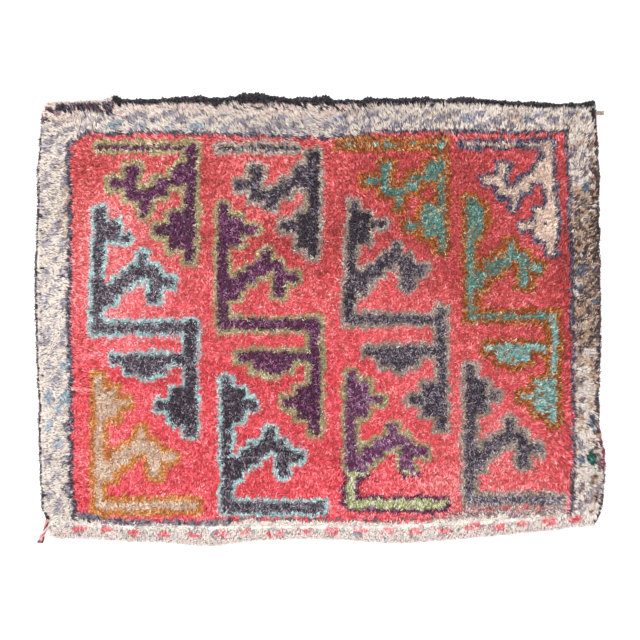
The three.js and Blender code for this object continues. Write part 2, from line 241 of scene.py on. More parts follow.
class SmoothNoise:
    """Soft noise from -1 to 1 on a plane: random values on a lattice, with smooth steps between them."""

    def __init__(self, seed: int, cells: int = 64) -> None:
        """Draws the lattice."""
        self.values = np.random.default_rng(seed).uniform(-1, 1, (cells, cells))
        self.cells = cells

    def __call__(self, x: Array, y: Array) -> Array:
        """Gives the noise at lattice coordinates."""
        i, j = np.floor(x).astype(int), np.floor(y).astype(int)
        s, t = x - i, y - j
        s, t = s * s * (3 - 2 * s), t * t * (3 - 2 * t)
        n = self.cells
        corner = [self.values[(i + a) % n, (j + b) % n] for a in (0, 1) for b in (0, 1)]
        low, high = corner[0] * (1 - t) + corner[1] * t, corner[2] * (1 - t) + corner[3] * t
        return low * (1 - s) + high * s


@dataclass(frozen=True)
class Grain:
    """One reading of soft noise: the size of its cells, where on the lattice it starts, and its weight."""

    size: tuple[float, float]
    start: tuple[float, float] = (0, 0)
    weight: float = 1.0

    def read(self, noise: SmoothNoise, x: Array, y: Array) -> Array:
        """Gives the noise at places, times the weight."""
        return self.weight * noise(x / self.size[0] + self.start[0], y / self.size[1] + self.start[1])


def smooth_step(low: float, high: float, x: Array) -> Array:
    """Rises smoothly from 0 at low to 1 at high."""
    t = np.clip((x - low) / (high - low), 0, 1)
    return t * t * (3 - 2 * t)


def swell(rise: Pair, fall: Pair, x: Array) -> Array:
    """Rises smoothly to 1 along the first stretch, and falls back to 0 along the second."""
    return smooth_step(*rise, x) * (1 - smooth_step(*fall, x))


def between(rows: Rows, x: Array) -> Array:
    """Reads rows of place and value at other places, with straight lines from row to row."""
    return np.interp(x, *zip(*rows))


FAR = math.inf
EVERY = (-FAR, FAR)
# The corners of a block are rounded off by so many squares, or by this part of a small one.
ROUNDING = 2.0
ROUNDED_PART = 3


@dataclass(frozen=True)
class Block:
    """A block of the chart, in squares."""

    left: float
    right: float
    low: float
    high: float

    def holds(self, x: Array, y: Array, margin: float = 0.0) -> Array:
        """Tells which points lie in the block, whose corners are rounded off, or within a margin of it."""
        wide, tall = self.right - self.left, self.high - self.low
        soft = min(ROUNDING, wide / ROUNDED_PART, tall / ROUNDED_PART)
        across = np.maximum(np.maximum(self.left + soft - x, x - self.right + soft), 0)
        up = np.maximum(np.maximum(self.low + soft - y, y - self.high + soft), 0)
        return np.hypot(across, up) < margin + soft

    def rounds(self, x: Array, y: Array, margin: float = 0.0) -> Array:
        """Tells which points lie in the oval that fits the block, grown by a margin."""
        wide, tall = (self.right - self.left) / 2 + margin, (self.high - self.low) / 2 + margin
        across = (x - (self.left + self.right) / 2) / wide
        up = (y - (self.low + self.high) / 2) / tall
        return across**2 + up**2 < 1

    def moved(self, by: Pair, wide: float) -> "Block":
        """Gives the block widened about the stem and moved."""
        return Block(self.left * wide + by[0], self.right * wide + by[0], self.low + by[1], self.high + by[1])


# The hooked arm has three forms, given from its motif's outer corner: a high, a low and a hanging one.
def high_arm(peak: float = 83) -> tuple[Block, ...]:
    """Gives the arm that rises from the stem, whose peak has its own height."""
    return (
        Block(0, 20, 31, 43),
        Block(0, 26, 41, 52),
        Block(18, 36, 47, 60),
        Block(28, 46, 55, 66),
        Block(36, 63, 59, 70),
        Block(43, 51.5, 66, peak),
        Block(55, 67, 34, 64),
        Block(64, 81, 49, 58.5),
    )


def low_arm(tail: float = 71) -> tuple[Block, ...]:
    """Gives the arm that reaches out below the foot, whose tail has its own length."""
    return (
        Block(6, 20, 20, 29),
        Block(6, 25, 26, 35),
        Block(7, 39, 34, 42),
        Block(29, 45, 41, 52),
        Block(41, 69, 46, 56),
        Block(60, 69, 26, 51),
        Block(57, 71, 22, 31),
        Block(68, 87, 36, 44),
        Block(44, 54, 54, 63),
        Block(48, 54, 58, tail),
    )


HANGING_ARM = (
    Block(8, 30, 35, 44),
    Block(28, 68, 35, 54),
    Block(66, 82, 36, 44),
    Block(40, 54, 50, 58),
)
NO_BLOCK = Block(0, 0, 0, 0)


@dataclass(frozen=True)
class Tones:
    """Tones of a motif's fill in its parts."""

    head: float = 0.0
    stem: float = 0.0
    foot: float = 0.0
    arm: float = 0.0


@dataclass(frozen=True)
class Motif:
    """A stem with a foot, an arm and a stepped head, from its outer corner. A turned one hangs from it.

    One motif changes: in one block of the chart it goes on with its two yarns changed over.
    """

    corner: Pair
    turned: bool
    stem: Pair
    foot: Block
    head: Block
    nub: Block
    arm: tuple[Block, ...]
    shift: Pair
    wide: float
    fill: Yarn
    edge: Yarn
    edge_width: float
    lean: float = 0.0
    round_head: bool = False
    stem_from: float = 0.0
    tones: Tones = Tones()
    grown: float = 0.3
    changes: bool = False
    foot_reach: float = 3.0
    arm_reach: float = 1.0
    head_reach: float = 2.0

    def blocks(self) -> list[Block]:
        """Gives the motif's blocks from its corner, without a round head."""
        stem = Block(0, self.stem[0], self.stem_from, self.stem[1])
        arm = [block.moved(self.shift, self.wide) for block in self.arm]
        return [stem, self.foot, self.nub, *arm] + ([] if self.round_head else [self.head])

    def local(self, x: Array, y: Array) -> tuple[Array, Array]:
        """Gives points from the motif's corner, turned with it."""
        way = -1 if self.turned else 1
        up = way * (y - self.corner[1])
        return way * (x - self.corner[0]) - self.lean * up, up

    def covers(self, x: Array, y: Array, margin: Array) -> Array:
        """Tells which points lie in the motif grown by a margin."""
        across, up = self.local(x, y)
        found = np.zeros(len(x), bool)
        for block in self.blocks():
            if block.right > block.left:
                found |= block.holds(across, up, margin)
        if self.round_head:
            found |= self.head.rounds(across, up, margin)
        return found

    def tone_at(self, x: Array, y: Array) -> Array:
        """Gives the fill's tone at points: the stem's, and over it the foot's, the arm's and the head's."""
        across, up = self.local(x, y)
        tone = np.full(len(x), self.tones.stem)
        tone[self.foot.holds(across, up, self.foot_reach)] = self.tones.foot
        for block in self.arm:
            tone[block.moved(self.shift, self.wide).holds(across, up, self.arm_reach)] = self.tones.arm
        tone[self.head.holds(across, up, self.head_reach)] = self.tones.head
        return tone


MOTIFS = (
    Motif((-123, 176), True, (9, 118), Block(0, 100, 2, 5.5), Block(3, 26, 70, 106), Block(25, 40, 82, 92),
          low_arm(), (0, 0), 1.0, Yarn.PURPLE, Yarn.OLIVE, 5.6,
          lean=0.03, tones=Tones(0, -0.3, -0.2, 0), grown=0.4),
    Motif((-2, 177), True, (10, 115), Block(21, 99, 3.6, 7), Block(0, 21, 70, 106), Block(21, 38, 79, 88),
          low_arm(63), (0, 2.5), 0.96, Yarn.CHARCOAL, Yarn.TAUPE, 5.3,
          stem_from=8, tones=Tones(-0.6, -0.3, 0.3, 0.1)),
    Motif((125, 179), True, (8, 112), Block(0, 105, 2, 6), Block(3, 26, 63, 100), Block(24, 42, 82, 90),
          low_arm(), (-2, 0), 0.96, Yarn.TEAL, Yarn.RUST, 5.3,
          round_head=True, tones=Tones(0.1, -0.1, 0, 0), grown=-1.0),
    Motif((232, 179), True, (8, 114), Block(0, 90, 2, 5.6), Block(-2, 20, 68, 100), Block(20, 35, 81, 88),
          low_arm(), (0, 0), 0.8, Yarn.WHEAT, Yarn.NAVY, 4.0,
          lean=-0.03, tones=Tones(0, -0.3, -0.6, -0.4), grown=-0.6),
    Motif((-228, -14), False, (10, 126), Block(0, 106, 1, 11), Block(2, 25, 93, 113), Block(28, 37, 92, 99),
          high_arm(), (3, -2.5), 0.97, Yarn.CHARCOAL, Yarn.AQUA, 4.1,
          lean=0.02, tones=Tones(0.5, 0.5, 0.7, 0.65), grown=0.1),
    Motif((-124, 0), True, (11, 117), NO_BLOCK, Block(0, 26, 68, 105), Block(26, 39, 81, 90),
          HANGING_ARM, (2, 0), 1.02, Yarn.CHARCOAL, Yarn.AQUA, 3.7,
          tones=Tones(0.1, 0.25, 0.25, 0.45), grown=0.6),
    Motif((-102.5, -11), False, (10, 127), Block(0, 103, 1, 11.5), Block(0, 23, 84, 114),
          Block(22, 39, 97, 104), high_arm(81), (2, -0.5), 0.97, Yarn.PURPLE, Yarn.OLIVE, 4.4,
          lean=0.01, grown=0.3),
    Motif((0, 2), True, (10, 117), NO_BLOCK, Block(0, 23, 69, 102), Block(23, 38, 80, 89),
          HANGING_ARM, (0, -1), 1.0, Yarn.PURPLE, Yarn.OLIVE, 5.2,
          grown=0.1),
    Motif((24, -5), False, (9, 124), Block(0, 101, 1, 9.5), Block(2, 22, 81, 112), Block(22, 37, 97, 103),
          high_arm(81), (3, 0.5), 0.96, Yarn.CHARCOAL, Yarn.TAUPE, 4.3,
          lean=0.045, tones=Tones(-0.6, -0.3, 0.5, 0.35), grown=0),
    Motif((125, 12), True, (8, 123), NO_BLOCK, Block(-1, 22, 76, 109), Block(22, 36, 88, 97),
          HANGING_ARM, (-1, 4), 1.0, Yarn.CHARCOAL, Yarn.TAUPE, 4.7,
          tones=Tones(0.35, 0.4, 0.4, 0.45), grown=0.1),
    Motif((146, -1), False, (9, 124), Block(0, 90, 0.5, 8), Block(-1, 19, 81, 121), NO_BLOCK,
          high_arm(81), (1, -1), 0.93, Yarn.TEAL, Yarn.RUST, 5.1,
          round_head=True, tones=Tones(-0.1, 0, 0, 0), grown=-1.0),
    Motif((237, 8), True, (8, 113), NO_BLOCK, Block(4, 24, 68, 102), Block(23, 38, 80, 89),
          HANGING_ARM, (2, -3), 0.86, Yarn.MIST, Yarn.RUST, 5.2,
          grown=-1.2),
    Motif((-225, -191), False, (8, 137), Block(0, 103, 0, 9), Block(0, 22, 91, 123),
          Block(22, 33, 103, 112), high_arm(), (0, -1), 0.97, Yarn.BEIGE, Yarn.OCHRE, 5.4,
          tones=Tones(0.2, 0.3, 0.4, 0.3), grown=-0.6),
    Motif((-98, -193), False, (9, 136), Block(0, 103, 0, 10.5), Block(0, 22, 91, 125),
          Block(22, 33, 104, 114), high_arm(), (0, 2), 1.0, Yarn.CHARCOAL, Yarn.AQUA, 4.1,
          tones=Tones(0.05, 0.45, 0.75, 0.3), grown=0.4),
    Motif((26, -189), False, (9, 138), Block(0, 100, 0, 9), Block(1, 22, 92, 127), Block(22, 37, 105, 111),
          (*high_arm(81), Block(56, 68, 31, 40)), (0, 3), 1.0, Yarn.PURPLE, Yarn.OLIVE, 5.0,
          tones=Tones(0.6, 0.6, 0.3, 0.7), grown=0.4, changes=True),
    Motif((145, -185), False, (10, 140), Block(0, 97, 0.5, 9), Block(0, 22, 92, 125),
          Block(22, 34, 105, 113), high_arm(), (0, 3), 0.94, Yarn.CHARCOAL, Yarn.TAUPE, 4.9,
          tones=Tones(0.15, 0.6, 1.2, 0.55), grown=-0.3),
)


@dataclass(frozen=True)
class Mix:
    """Yarns tied by a value: each below the end of its own share, and the rest past them all."""

    shares: tuple[tuple[float, Yarn], ...]
    rest: Yarn

    def pick(self, value: Array) -> Numbers:
        """Gives the yarn for each value."""
        ends = [value < end for end, _ in self.shares]
        return np.select(ends, [int(yarn) for _, yarn in self.shares], int(self.rest))


@dataclass
class Knots:
    """The knots while the chart is painted: places in squares, a number drawn for each, yarns and tones."""

    x: Array
    y: Array
    chance: Array
    yarns: Numbers
    tones: Array

    def tie(self, where: Array, yarns: Numbers | Yarn, tones: Array | float | None = None) -> None:
        """Gives some of the knots their yarn, and their tone where one is named."""
        np.copyto(self.yarns, yarns, where=where)
        if tones is not None:
            np.copyto(self.tones, tones, where=where)

    def drawn_again(self, times: int) -> Array:
        """Makes another number from 0 to 1 for each knot: what stands behind the point of a multiple."""
        return times * self.chance % 1


@dataclass(frozen=True)
class GuardLine:
    """A dark line between field and border, as rows of place along the side and place across it."""

    rows: Rows
    half: float
    tied: float = 0.94
    uneven: float = 0.35

    def across(self, along: Array) -> Array:
        """Gives the line's place at places along the side."""
        return between(self.rows, along)

    def paint(self, knots: Knots, on: Array) -> None:
        """Ties nearly all of the line's knots in the guard yarn, some paler and some deeper."""
        knots.tie(on & (knots.chance < self.tied), Yarn.GUARD, self.uneven * (knots.chance * 2 - 1))


@dataclass(frozen=True)
class ThinningLine(GuardLine):
    """The lower guard line, which thins out towards the right, where its yarns change."""

    middle_from: float = -90
    right_from: float = 112
    left_tied: float = 0.93
    right_tied: float = 0.8
    middle_half: float = 2
    left_tone: float = -0.1
    left_mix: Mix = Mix(((0.4, Yarn.GUARD),), Yarn.LAVENDER)
    middle_mix: Mix = Mix(((0.14, Yarn.GUARD), (0.55, Yarn.ROSE)), Yarn.MAUVE)
    right_mix: Mix = Mix(((0.6, Yarn.MAUVE),), Yarn.TAUPE)

    def paint(self, knots: Knots, on: Array) -> None:
        """Ties the line's left, its thinner middle and its right, each in its own yarns."""
        x, chance = knots.x, knots.chance
        left = on & (x < self.middle_from) & (chance < self.left_tied)
        middle = on & (x >= self.middle_from) & (x < self.right_from)
        middle &= np.abs(knots.y - self.across(x)) < self.middle_half
        right = on & (x >= self.right_from) & (chance < self.right_tied)
        knots.tie(left, self.left_mix.pick(chance), self.left_tone)
        knots.tie(middle, self.middle_mix.pick(chance), 0)
        knots.tie(right, self.right_mix.pick(chance))


class Side(Enum):
    """The four sides of the field."""

    TOP = "top"
    BOTTOM = "bottom"
    LEFT = "left"
    RIGHT = "right"


GUARDS = {
    Side.TOP: GuardLine(
        ((-256, 176), (-246, 179), (-232, 187), (-120, 186.5), (-20, 182.5), (20, 183), (45, 184.5),
         (62, 188), (120, 188.5), (160, 187.5), (200, 187), (252, 188)), 1.9),
    Side.BOTTOM: ThinningLine(
        ((-250, -196), (-220, -198.5), (-190, -202.5), (-105, -204), (-70, -198.5), (20, -200), (60, -201),
         (100, -201), (115, -198.5), (140, -196), (180, -193.5), (252, -192)), 3.0),
    Side.LEFT: GuardLine(
        ((-200, -245), (-180, -247), (-150, -248.5), (-60, -249.5), (20, -251.5), (70, -250), (120, -250),
         (180, -252)), 2.3),
    Side.RIGHT: GuardLine(
        ((-192, 251), (-160, 254), (-110, 254), (-80, 253.5), (0, 253), (60, 252), (120, 249),
         (190, 246.5)), 2.3),
}


@dataclass(frozen=True)
class Blotches:
    """Rows of slanting blotches beside a guard line, staggered from one row to the next.

    Each blotch slips along its row, lies further in or out, and is larger or smaller, by its own draws.
    """

    rows: tuple[float, ...]
    pitch: float
    start: float
    half_length: float
    half_width: float
    slant: float
    seed: int
    stagger: float = 0.5
    slip: float = 2.0
    growth: float = 0.35
    drawn: int = 256

    def place(self, out: Array, along: Array) -> tuple[Array, Array]:
        """Tells in which row's blotch each point lies, or -1 where it lies in none.

        Args:
            out: Distance out from the guard line, in squares.
            along: Place along the side, in squares.

        Returns:
            The row of each point's blotch, and a number from 0 to 1 drawn for that blotch.
        """
        found = np.full(len(out), -1)
        kind = np.zeros(len(out))
        table = np.random.default_rng(self.seed).uniform(-1, 1, (len(self.rows), self.drawn, 4))
        for k, middle in enumerate(self.rows):
            turn = (along - self.start + self.slant * (out - middle)) / self.pitch + self.stagger * (k % 2)
            cell = np.floor(turn).astype(int)
            slip, growth, aside, number = table[k, cell % self.drawn].T
            off = (turn - cell - 0.5) * self.pitch + self.slip * slip
            size = 1 + self.growth * growth
            there = np.abs(off) < self.half_length * size
            there &= np.abs(out - middle - aside) < self.half_width * size
            found[there] = k
            kind[there] = 0.5 + 0.5 * number[there]
        return found, kind


@dataclass(frozen=True)
class Patch:
    """A soft patch where the field's red is deeper or paler than elsewhere."""

    x: float
    y: float
    wide: float
    tall: float
    tone: float

    def shade(self, x: Array, y: Array) -> Array:
        """Gives the patch's tone at points, which falls off as a bell."""
        reach = ((x - self.x) / self.wide) ** 2 + ((y - self.y) / self.tall) ** 2
        return self.tone * np.exp(-reach)


PATCHES = (
    Patch(115, 152, 95, 38, -0.95), Patch(243, 20, 20, 115, -1.1),
    Patch(5, 77, 150, 17, -0.75), Patch(26, 105, 16, 20, -0.8),
    Patch(-122, 142, 24, 30, -0.7), Patch(-234, 160, 26, 26, -0.5),
    Patch(-202, 38, 58, 82, 0.95), Patch(-85, 150, 28, 18, 0.35),
    Patch(35, 8, 65, 34, 0.35), Patch(80, -22, 20, 18, 0.4),
    Patch(-48, -56, 60, 22, -0.6), Patch(-170, -57, 62, 8, -0.6),
    Patch(-238, -66, 14, 16, -0.5), Patch(-76, -197, 13, 5, -1.3),
    Patch(95, -68, 45, 16, 0.5), Patch(-200, -120, 60, 45, 0.35),
    Patch(-45, -130, 48, 26, -0.45), Patch(140, -165, 115, 24, 0.8),
    Patch(165, -105, 55, 32, 0.55), Patch(237, -102, 14, 14, -0.45),
    Patch(85, -133, 16, 10, -0.6), Patch(0, -190, 120, 9, 0.45),
    Patch(165, 70, 52, 62, -0.45), Patch(248, 85, 13, 75, -0.5),
    Patch(247, -120, 14, 15, -0.4), Patch(246, -150, 12, 12, -0.2),
    Patch(30, -147, 26, 20, -0.75), Patch(-70, -147, 24, 20, -0.4),
    Patch(130, 46, 30, 18, -0.45), Patch(5, 50, 46, 14, -0.35),
    Patch(-20, 88, 24, 14, -0.4), Patch(-20, 128, 26, 16, 0.6),
    Patch(-195, 105, 42, 26, 0.35), Patch(-200, -8, 46, 20, 0.35),
    Patch(182, -147, 24, 16, 0.4), Patch(-120, -186, 26, 14, 0.4),
    Patch(85, 127, 22, 14, -0.4), Patch(230, -186, 20, 12, 0.4),
)


@dataclass
class Field:
    """The field: red above and rose below, in soft patches, with the hooked motifs tied over it.

    The rags are how far, in squares, edges and fills stray from their line, softly and from knot to knot.
    """

    mottle: SmoothNoise
    rose_rows: Pair = (110, -110)
    red_columns: Pair = (30, 140)
    red_gain: float = 0.7
    abrash: Grain = Grain((60, 7), weight=0.16)
    edge_rag: Grain = Grain((5.5, 5.5), (20, 0), 1.2)
    edge_stray: float = 1.1
    fill_rag: Grain = Grain((4.5, 4.5), (0, 33), 0.8)
    fill_stray: float = 0.9
    changed_over: Block = Block(10, 140, -210, -152)
    changed_edge: float = 4
    hem: Block = Block(142, 238, -200, -186.5)
    hem_mix: Mix = Mix(((0.45, Yarn.MAUVE), (0.6, Yarn.TAUPE)), Yarn.RED)
    hem_tone: float = 0.65

    def paint(self, knots: Knots) -> None:
        """Paints the ground, the motifs' edges, their fills and the hem below the last motif."""
        self.ground(knots)
        changed = self.changed_over.holds(knots.x, knots.y)
        self.edges(knots, changed)
        self.fills(knots, changed)
        plain = np.isin(knots.yarns, (Yarn.RED, Yarn.ROSE, Yarn.TAUPE))
        hem = plain & self.hem.holds(knots.x, knots.y)
        knots.tie(hem, self.hem_mix.pick(knots.drawn_again(5)), self.hem_tone)

    def ground(self, knots: Knots) -> None:
        """Paints the ground with its patches and its abrash."""
        x, y = knots.x, knots.y
        rose = smooth_step(*self.rose_rows, y) * (1 - self.red_gain * smooth_step(*self.red_columns, x))
        knots.tie(knots.chance >= rose, Yarn.RED)
        knots.tie(knots.chance < rose, Yarn.ROSE)
        for patch in PATCHES:
            knots.tones += patch.shade(x, y)
        knots.tones += self.abrash.read(self.mottle, x, y)

    def edges(self, knots: Knots, changed: Array) -> None:
        """Paints the motifs' edges, which one motif changes for its fill's yarn."""
        x, y = knots.x, knots.y
        rag = self.edge_rag.read(self.mottle, x, y) + self.edge_stray * (2 * knots.chance - 1)
        for motif in MOTIFS:
            edge = motif.covers(x, y, motif.edge_width + rag)
            if motif.changes:
                edge &= ~changed | motif.covers(x, y, self.changed_edge + rag)
            knots.tie(edge, motif.edge, 0)
            if motif.changes:
                knots.tie(edge & changed, motif.fill)

    def fills(self, knots: Knots, changed: Array) -> None:
        """Paints the motifs' fills, which one motif changes for a paler kind of its edge's yarn."""
        x, y = knots.x, knots.y
        rag = self.fill_rag.read(self.mottle, x, y) + self.fill_stray * (2 * knots.drawn_again(7) - 1)
        for motif in MOTIFS:
            fill = motif.covers(x, y, motif.grown + rag)
            knots.tie(fill, motif.fill, motif.tone_at(x, y))
            if motif.changes:
                knots.tie(fill & changed, Yarn.MOSS)


@dataclass
class Beside:
    """The knots from a border: which lie on it, how far out, and in which row of blotches and which blotch.

    The row is -1 between blotches, and kind is a number from 0 to 1 drawn for each blotch.
    """

    on: Array
    out: Array
    row: Array
    kind: Array


@dataclass(frozen=True)
class Touch:
    """Yarns, and a tone if one is named, for those of a border's knots that lie in all of its ranges."""

    yarns: Mix | Yarn
    tone: float | None = None
    x: Pair = EVERY
    y: Pair = EVERY
    out: Pair = EVERY
    row: Pair = EVERY
    kind: Pair = EVERY
    chance: Pair = EVERY

    def paint(self, knots: Knots, beside: Beside) -> Array:
        """Ties the knots in the ranges, whose high ends are left out, and tells which they are."""
        values = (knots.x, knots.y, beside.out, beside.row, beside.kind, knots.chance)
        ranges = (self.x, self.y, self.out, self.row, self.kind, self.chance)
        found = beside.on.copy()
        for value, (low, high) in zip(values, ranges):
            found &= (value >= low) & (value < high)
        yarns = self.yarns.pick(knots.chance) if isinstance(self.yarns, Mix) else self.yarns
        knots.tie(found, yarns, self.tone)
        return found


@dataclass
class Border:
    """A border's cream, with ashy and lavender streaks drawn out along the way of the pile."""

    mottle: SmoothNoise
    wander: SmoothNoise
    streak: Grain = Grain((8, 3.2), (3, 3))
    thread: Grain = Grain((4, 1.9), (0, 50), 0.4)
    straying: float = 0.25
    lavender_past: float = 0.3

    def cream(self, knots: Knots, on: Array, way: Array | float, ash: float, tone: float) -> None:
        """Ties cream where the streaks are faint, ash past the limit named, and lavender further past it."""
        turn = np.radians(way)
        along = knots.x * np.cos(turn) + knots.y * np.sin(turn)
        across = knots.y * np.cos(turn) - knots.x * np.sin(turn)
        streak = self.streak.read(self.mottle, along, across) + self.thread.read(self.wander, along, across)
        streak += self.straying * (knots.chance - 0.5)
        mix = Mix(((ash, Yarn.CREAM), (ash + self.lavender_past, Yarn.ASH)), Yarn.LAVENDER)
        knots.tie(on, mix.pick(streak), tone)

    def paint(self, knots: Knots, on: Array, out: Array) -> None:
        """Paints the border's knots, each so far out from the guard line."""
        raise NotImplementedError


@dataclass(frozen=True)
class DarkStrand:
    """A dark strand across a corner: its columns, the lines that it lies between, and the share tied."""

    columns: Pair
    low: Rows
    high: Rows
    tied: float
    rag: Grain = Grain((5, 9), (8, 0), 0)

    def holds(self, knots: Knots, mottle: SmoothNoise) -> Array:
        """Tells which knots lie in the strand and are tied."""
        x, y = knots.x, knots.y
        low = between(self.low, x) + self.rag.read(mottle, x, y)
        found = (x > self.columns[0]) & (x <= self.columns[1]) & (knots.chance < self.tied)
        return found & (y > low) & (y < between(self.high, x))


@dataclass
class TopBorder(Border):
    """The upper border: cream with lavender, light blue towards the left, and dark corners."""

    way: Rows = ((40, 145), (100, 95))
    ash: float = 0.42
    tone: float = -0.4
    paler_columns: Pair = (100, 170)
    paler: float = 0.25
    deeper_width: float = 90
    deeper: float = 0.3
    low_out: float = 8
    low_over: float = 0.5
    low_paler: float = 0.25
    blotches: Blotches = Blotches((6.5, 12, 18.5), 28.5, -165, 5.5, 2.9, -0.8, SEED + 4)
    touches: tuple[Touch, ...] = (
        Touch(Yarn.TAN, x=(100, FAR), chance=(0.82, 1)),
        Touch(Mix(((0.12, Yarn.ASH),), Yarn.LAVENDER), -0.35, out=(0, 20), row=(0, 3), chance=(0, 0.93)),
        Touch(Yarn.SKY, -0.1, x=(-222, -95), out=(0, 20), row=(0, 1), chance=(0, 0.75)),
        Touch(Mix(((0.4, Yarn.LAVENDER),), Yarn.SLATE), 0.35, out=(0, 20), row=(1, 3), kind=(0.8, 1),
              chance=(0, 0.93)),
        Touch(Yarn.CREAM, out=(17, FAR), row=(-1, 0), chance=(0.3, 1)),
        Touch(Yarn.BLUSH, x=(-FAR, 60), out=(17, FAR), row=(-1, 0), chance=(0.6, 1)),
        Touch(Yarn.BLACK, x=(-206, FAR), out=(25.5, FAR), chance=(0, 0.3)),
    )
    pale_mix: Mix = Mix(((0.3, Yarn.ASH),), Yarn.BLUSH)
    pale_rim: Touch = Touch(pale_mix, x=(-FAR, -206), y=(216, FAR), chance=(0, 0.85))
    strands: tuple[DarkStrand, ...] = (
        DarkStrand((-264, -206), ((0, 206.5),), ((0, 216),), 0.92, Grain((5, 9), (8, 0), 2.2)),
        DarkStrand((-274, -260), ((-274, 211.15), (-260, 202.05)), ((-274, 217.15), (-260, 208.05)), 0.85),
        DarkStrand((-FAR, -272), ((0, 199.8),), ((0, 204.2),), 0.6),
    )
    dark_mix: Mix = Mix(((0.35, Yarn.BLACK), (0.5, Yarn.PLUM)), Yarn.GUARD)
    right_inner: Rows = ((187, 274.5), (202, 272), (208, 269), (216, 263))
    right_tied: float = 0.9

    def paint(self, knots: Knots, on: Array, out: Array) -> None:
        """Paints the cream, then its touches, its paler lower rows and the dark corners."""
        x, chance = knots.x, knots.chance
        self.cream(knots, on, between(self.way, x), self.ash, self.tone)
        shade = self.paler * smooth_step(*self.paler_columns, x)
        shade -= self.deeper * np.exp(-((x / self.deeper_width) ** 2))
        knots.tones[on] += shade[on]
        beside = Beside(on, out, *self.blotches.place(out, x))
        for touch in self.touches:
            touch.paint(knots, beside)
        knots.tones[on & (out < self.low_out) & (chance > self.low_over)] += self.low_paler
        self.dark_corners(knots, beside)

    def dark_corners(self, knots: Knots, beside: Beside) -> None:
        """Paints the dark strands at both upper corners, under a pale rim on the left."""
        y = knots.y
        self.pale_rim.paint(knots, beside)
        dark = np.logical_or.reduce([strand.holds(knots, self.mottle) for strand in self.strands])
        knots.tie(beside.on & dark, self.dark_mix.pick(knots.chance), 0)
        right = (y > self.right_inner[0][0]) & (knots.x > between(self.right_inner, y))
        knots.tie(beside.on & right & (knots.chance < self.right_tied), Yarn.BLACK, 0)


@dataclass
class LeftBorder(Border):
    """The left border: cream with lavender, and some light blue lower down."""

    way: float = 175
    ash: float = 0.72
    high_rows: Pair = (40, 100)
    paler: float = 0.12
    high_deeper: float = 0.3
    warm: Touch = Touch(Yarn.TAN, y=(85, 160), out=(0, 12), chance=(0.78, 1))
    blotches: Blotches = Blotches((6, 14.5, 23), 31, 0, 6.0, 3.9, 0.7, SEED + 5)
    spots: Touch = Touch(Mix(((0.3, Yarn.ASH),), Yarn.LAVENDER), row=(0, 3), chance=(0, 0.9))
    spots_paler: float = 0.4
    touches: tuple[Touch, ...] = (
        Touch(Yarn.SKY, y=(-130, -30), row=(0, 3), kind=(0, 0.5), chance=(0, 0.7)),
        Touch(Yarn.GUARD, row=(0, 1), kind=(0.6, 1), chance=(0.5, 0.9)),
        Touch(Yarn.CHARCOAL, out=(27.5, FAR), chance=(0, 0.16)),
    )

    def paint(self, knots: Knots, on: Array, out: Array) -> None:
        """Paints the cream, its blotches and the charcoal fringe."""
        self.cream(knots, on, self.way, self.ash, 0)
        high = smooth_step(*self.high_rows, knots.y)
        knots.tones[on] += self.paler - self.high_deeper * high[on]
        beside = Beside(on, out, *self.blotches.place(out, knots.y))
        self.warm.paint(knots, beside)
        spot = self.spots.paint(knots, beside)
        knots.tones[spot] = self.spots_paler - self.spots_paler * high[spot]
        for touch in self.touches:
            touch.paint(knots, beside)


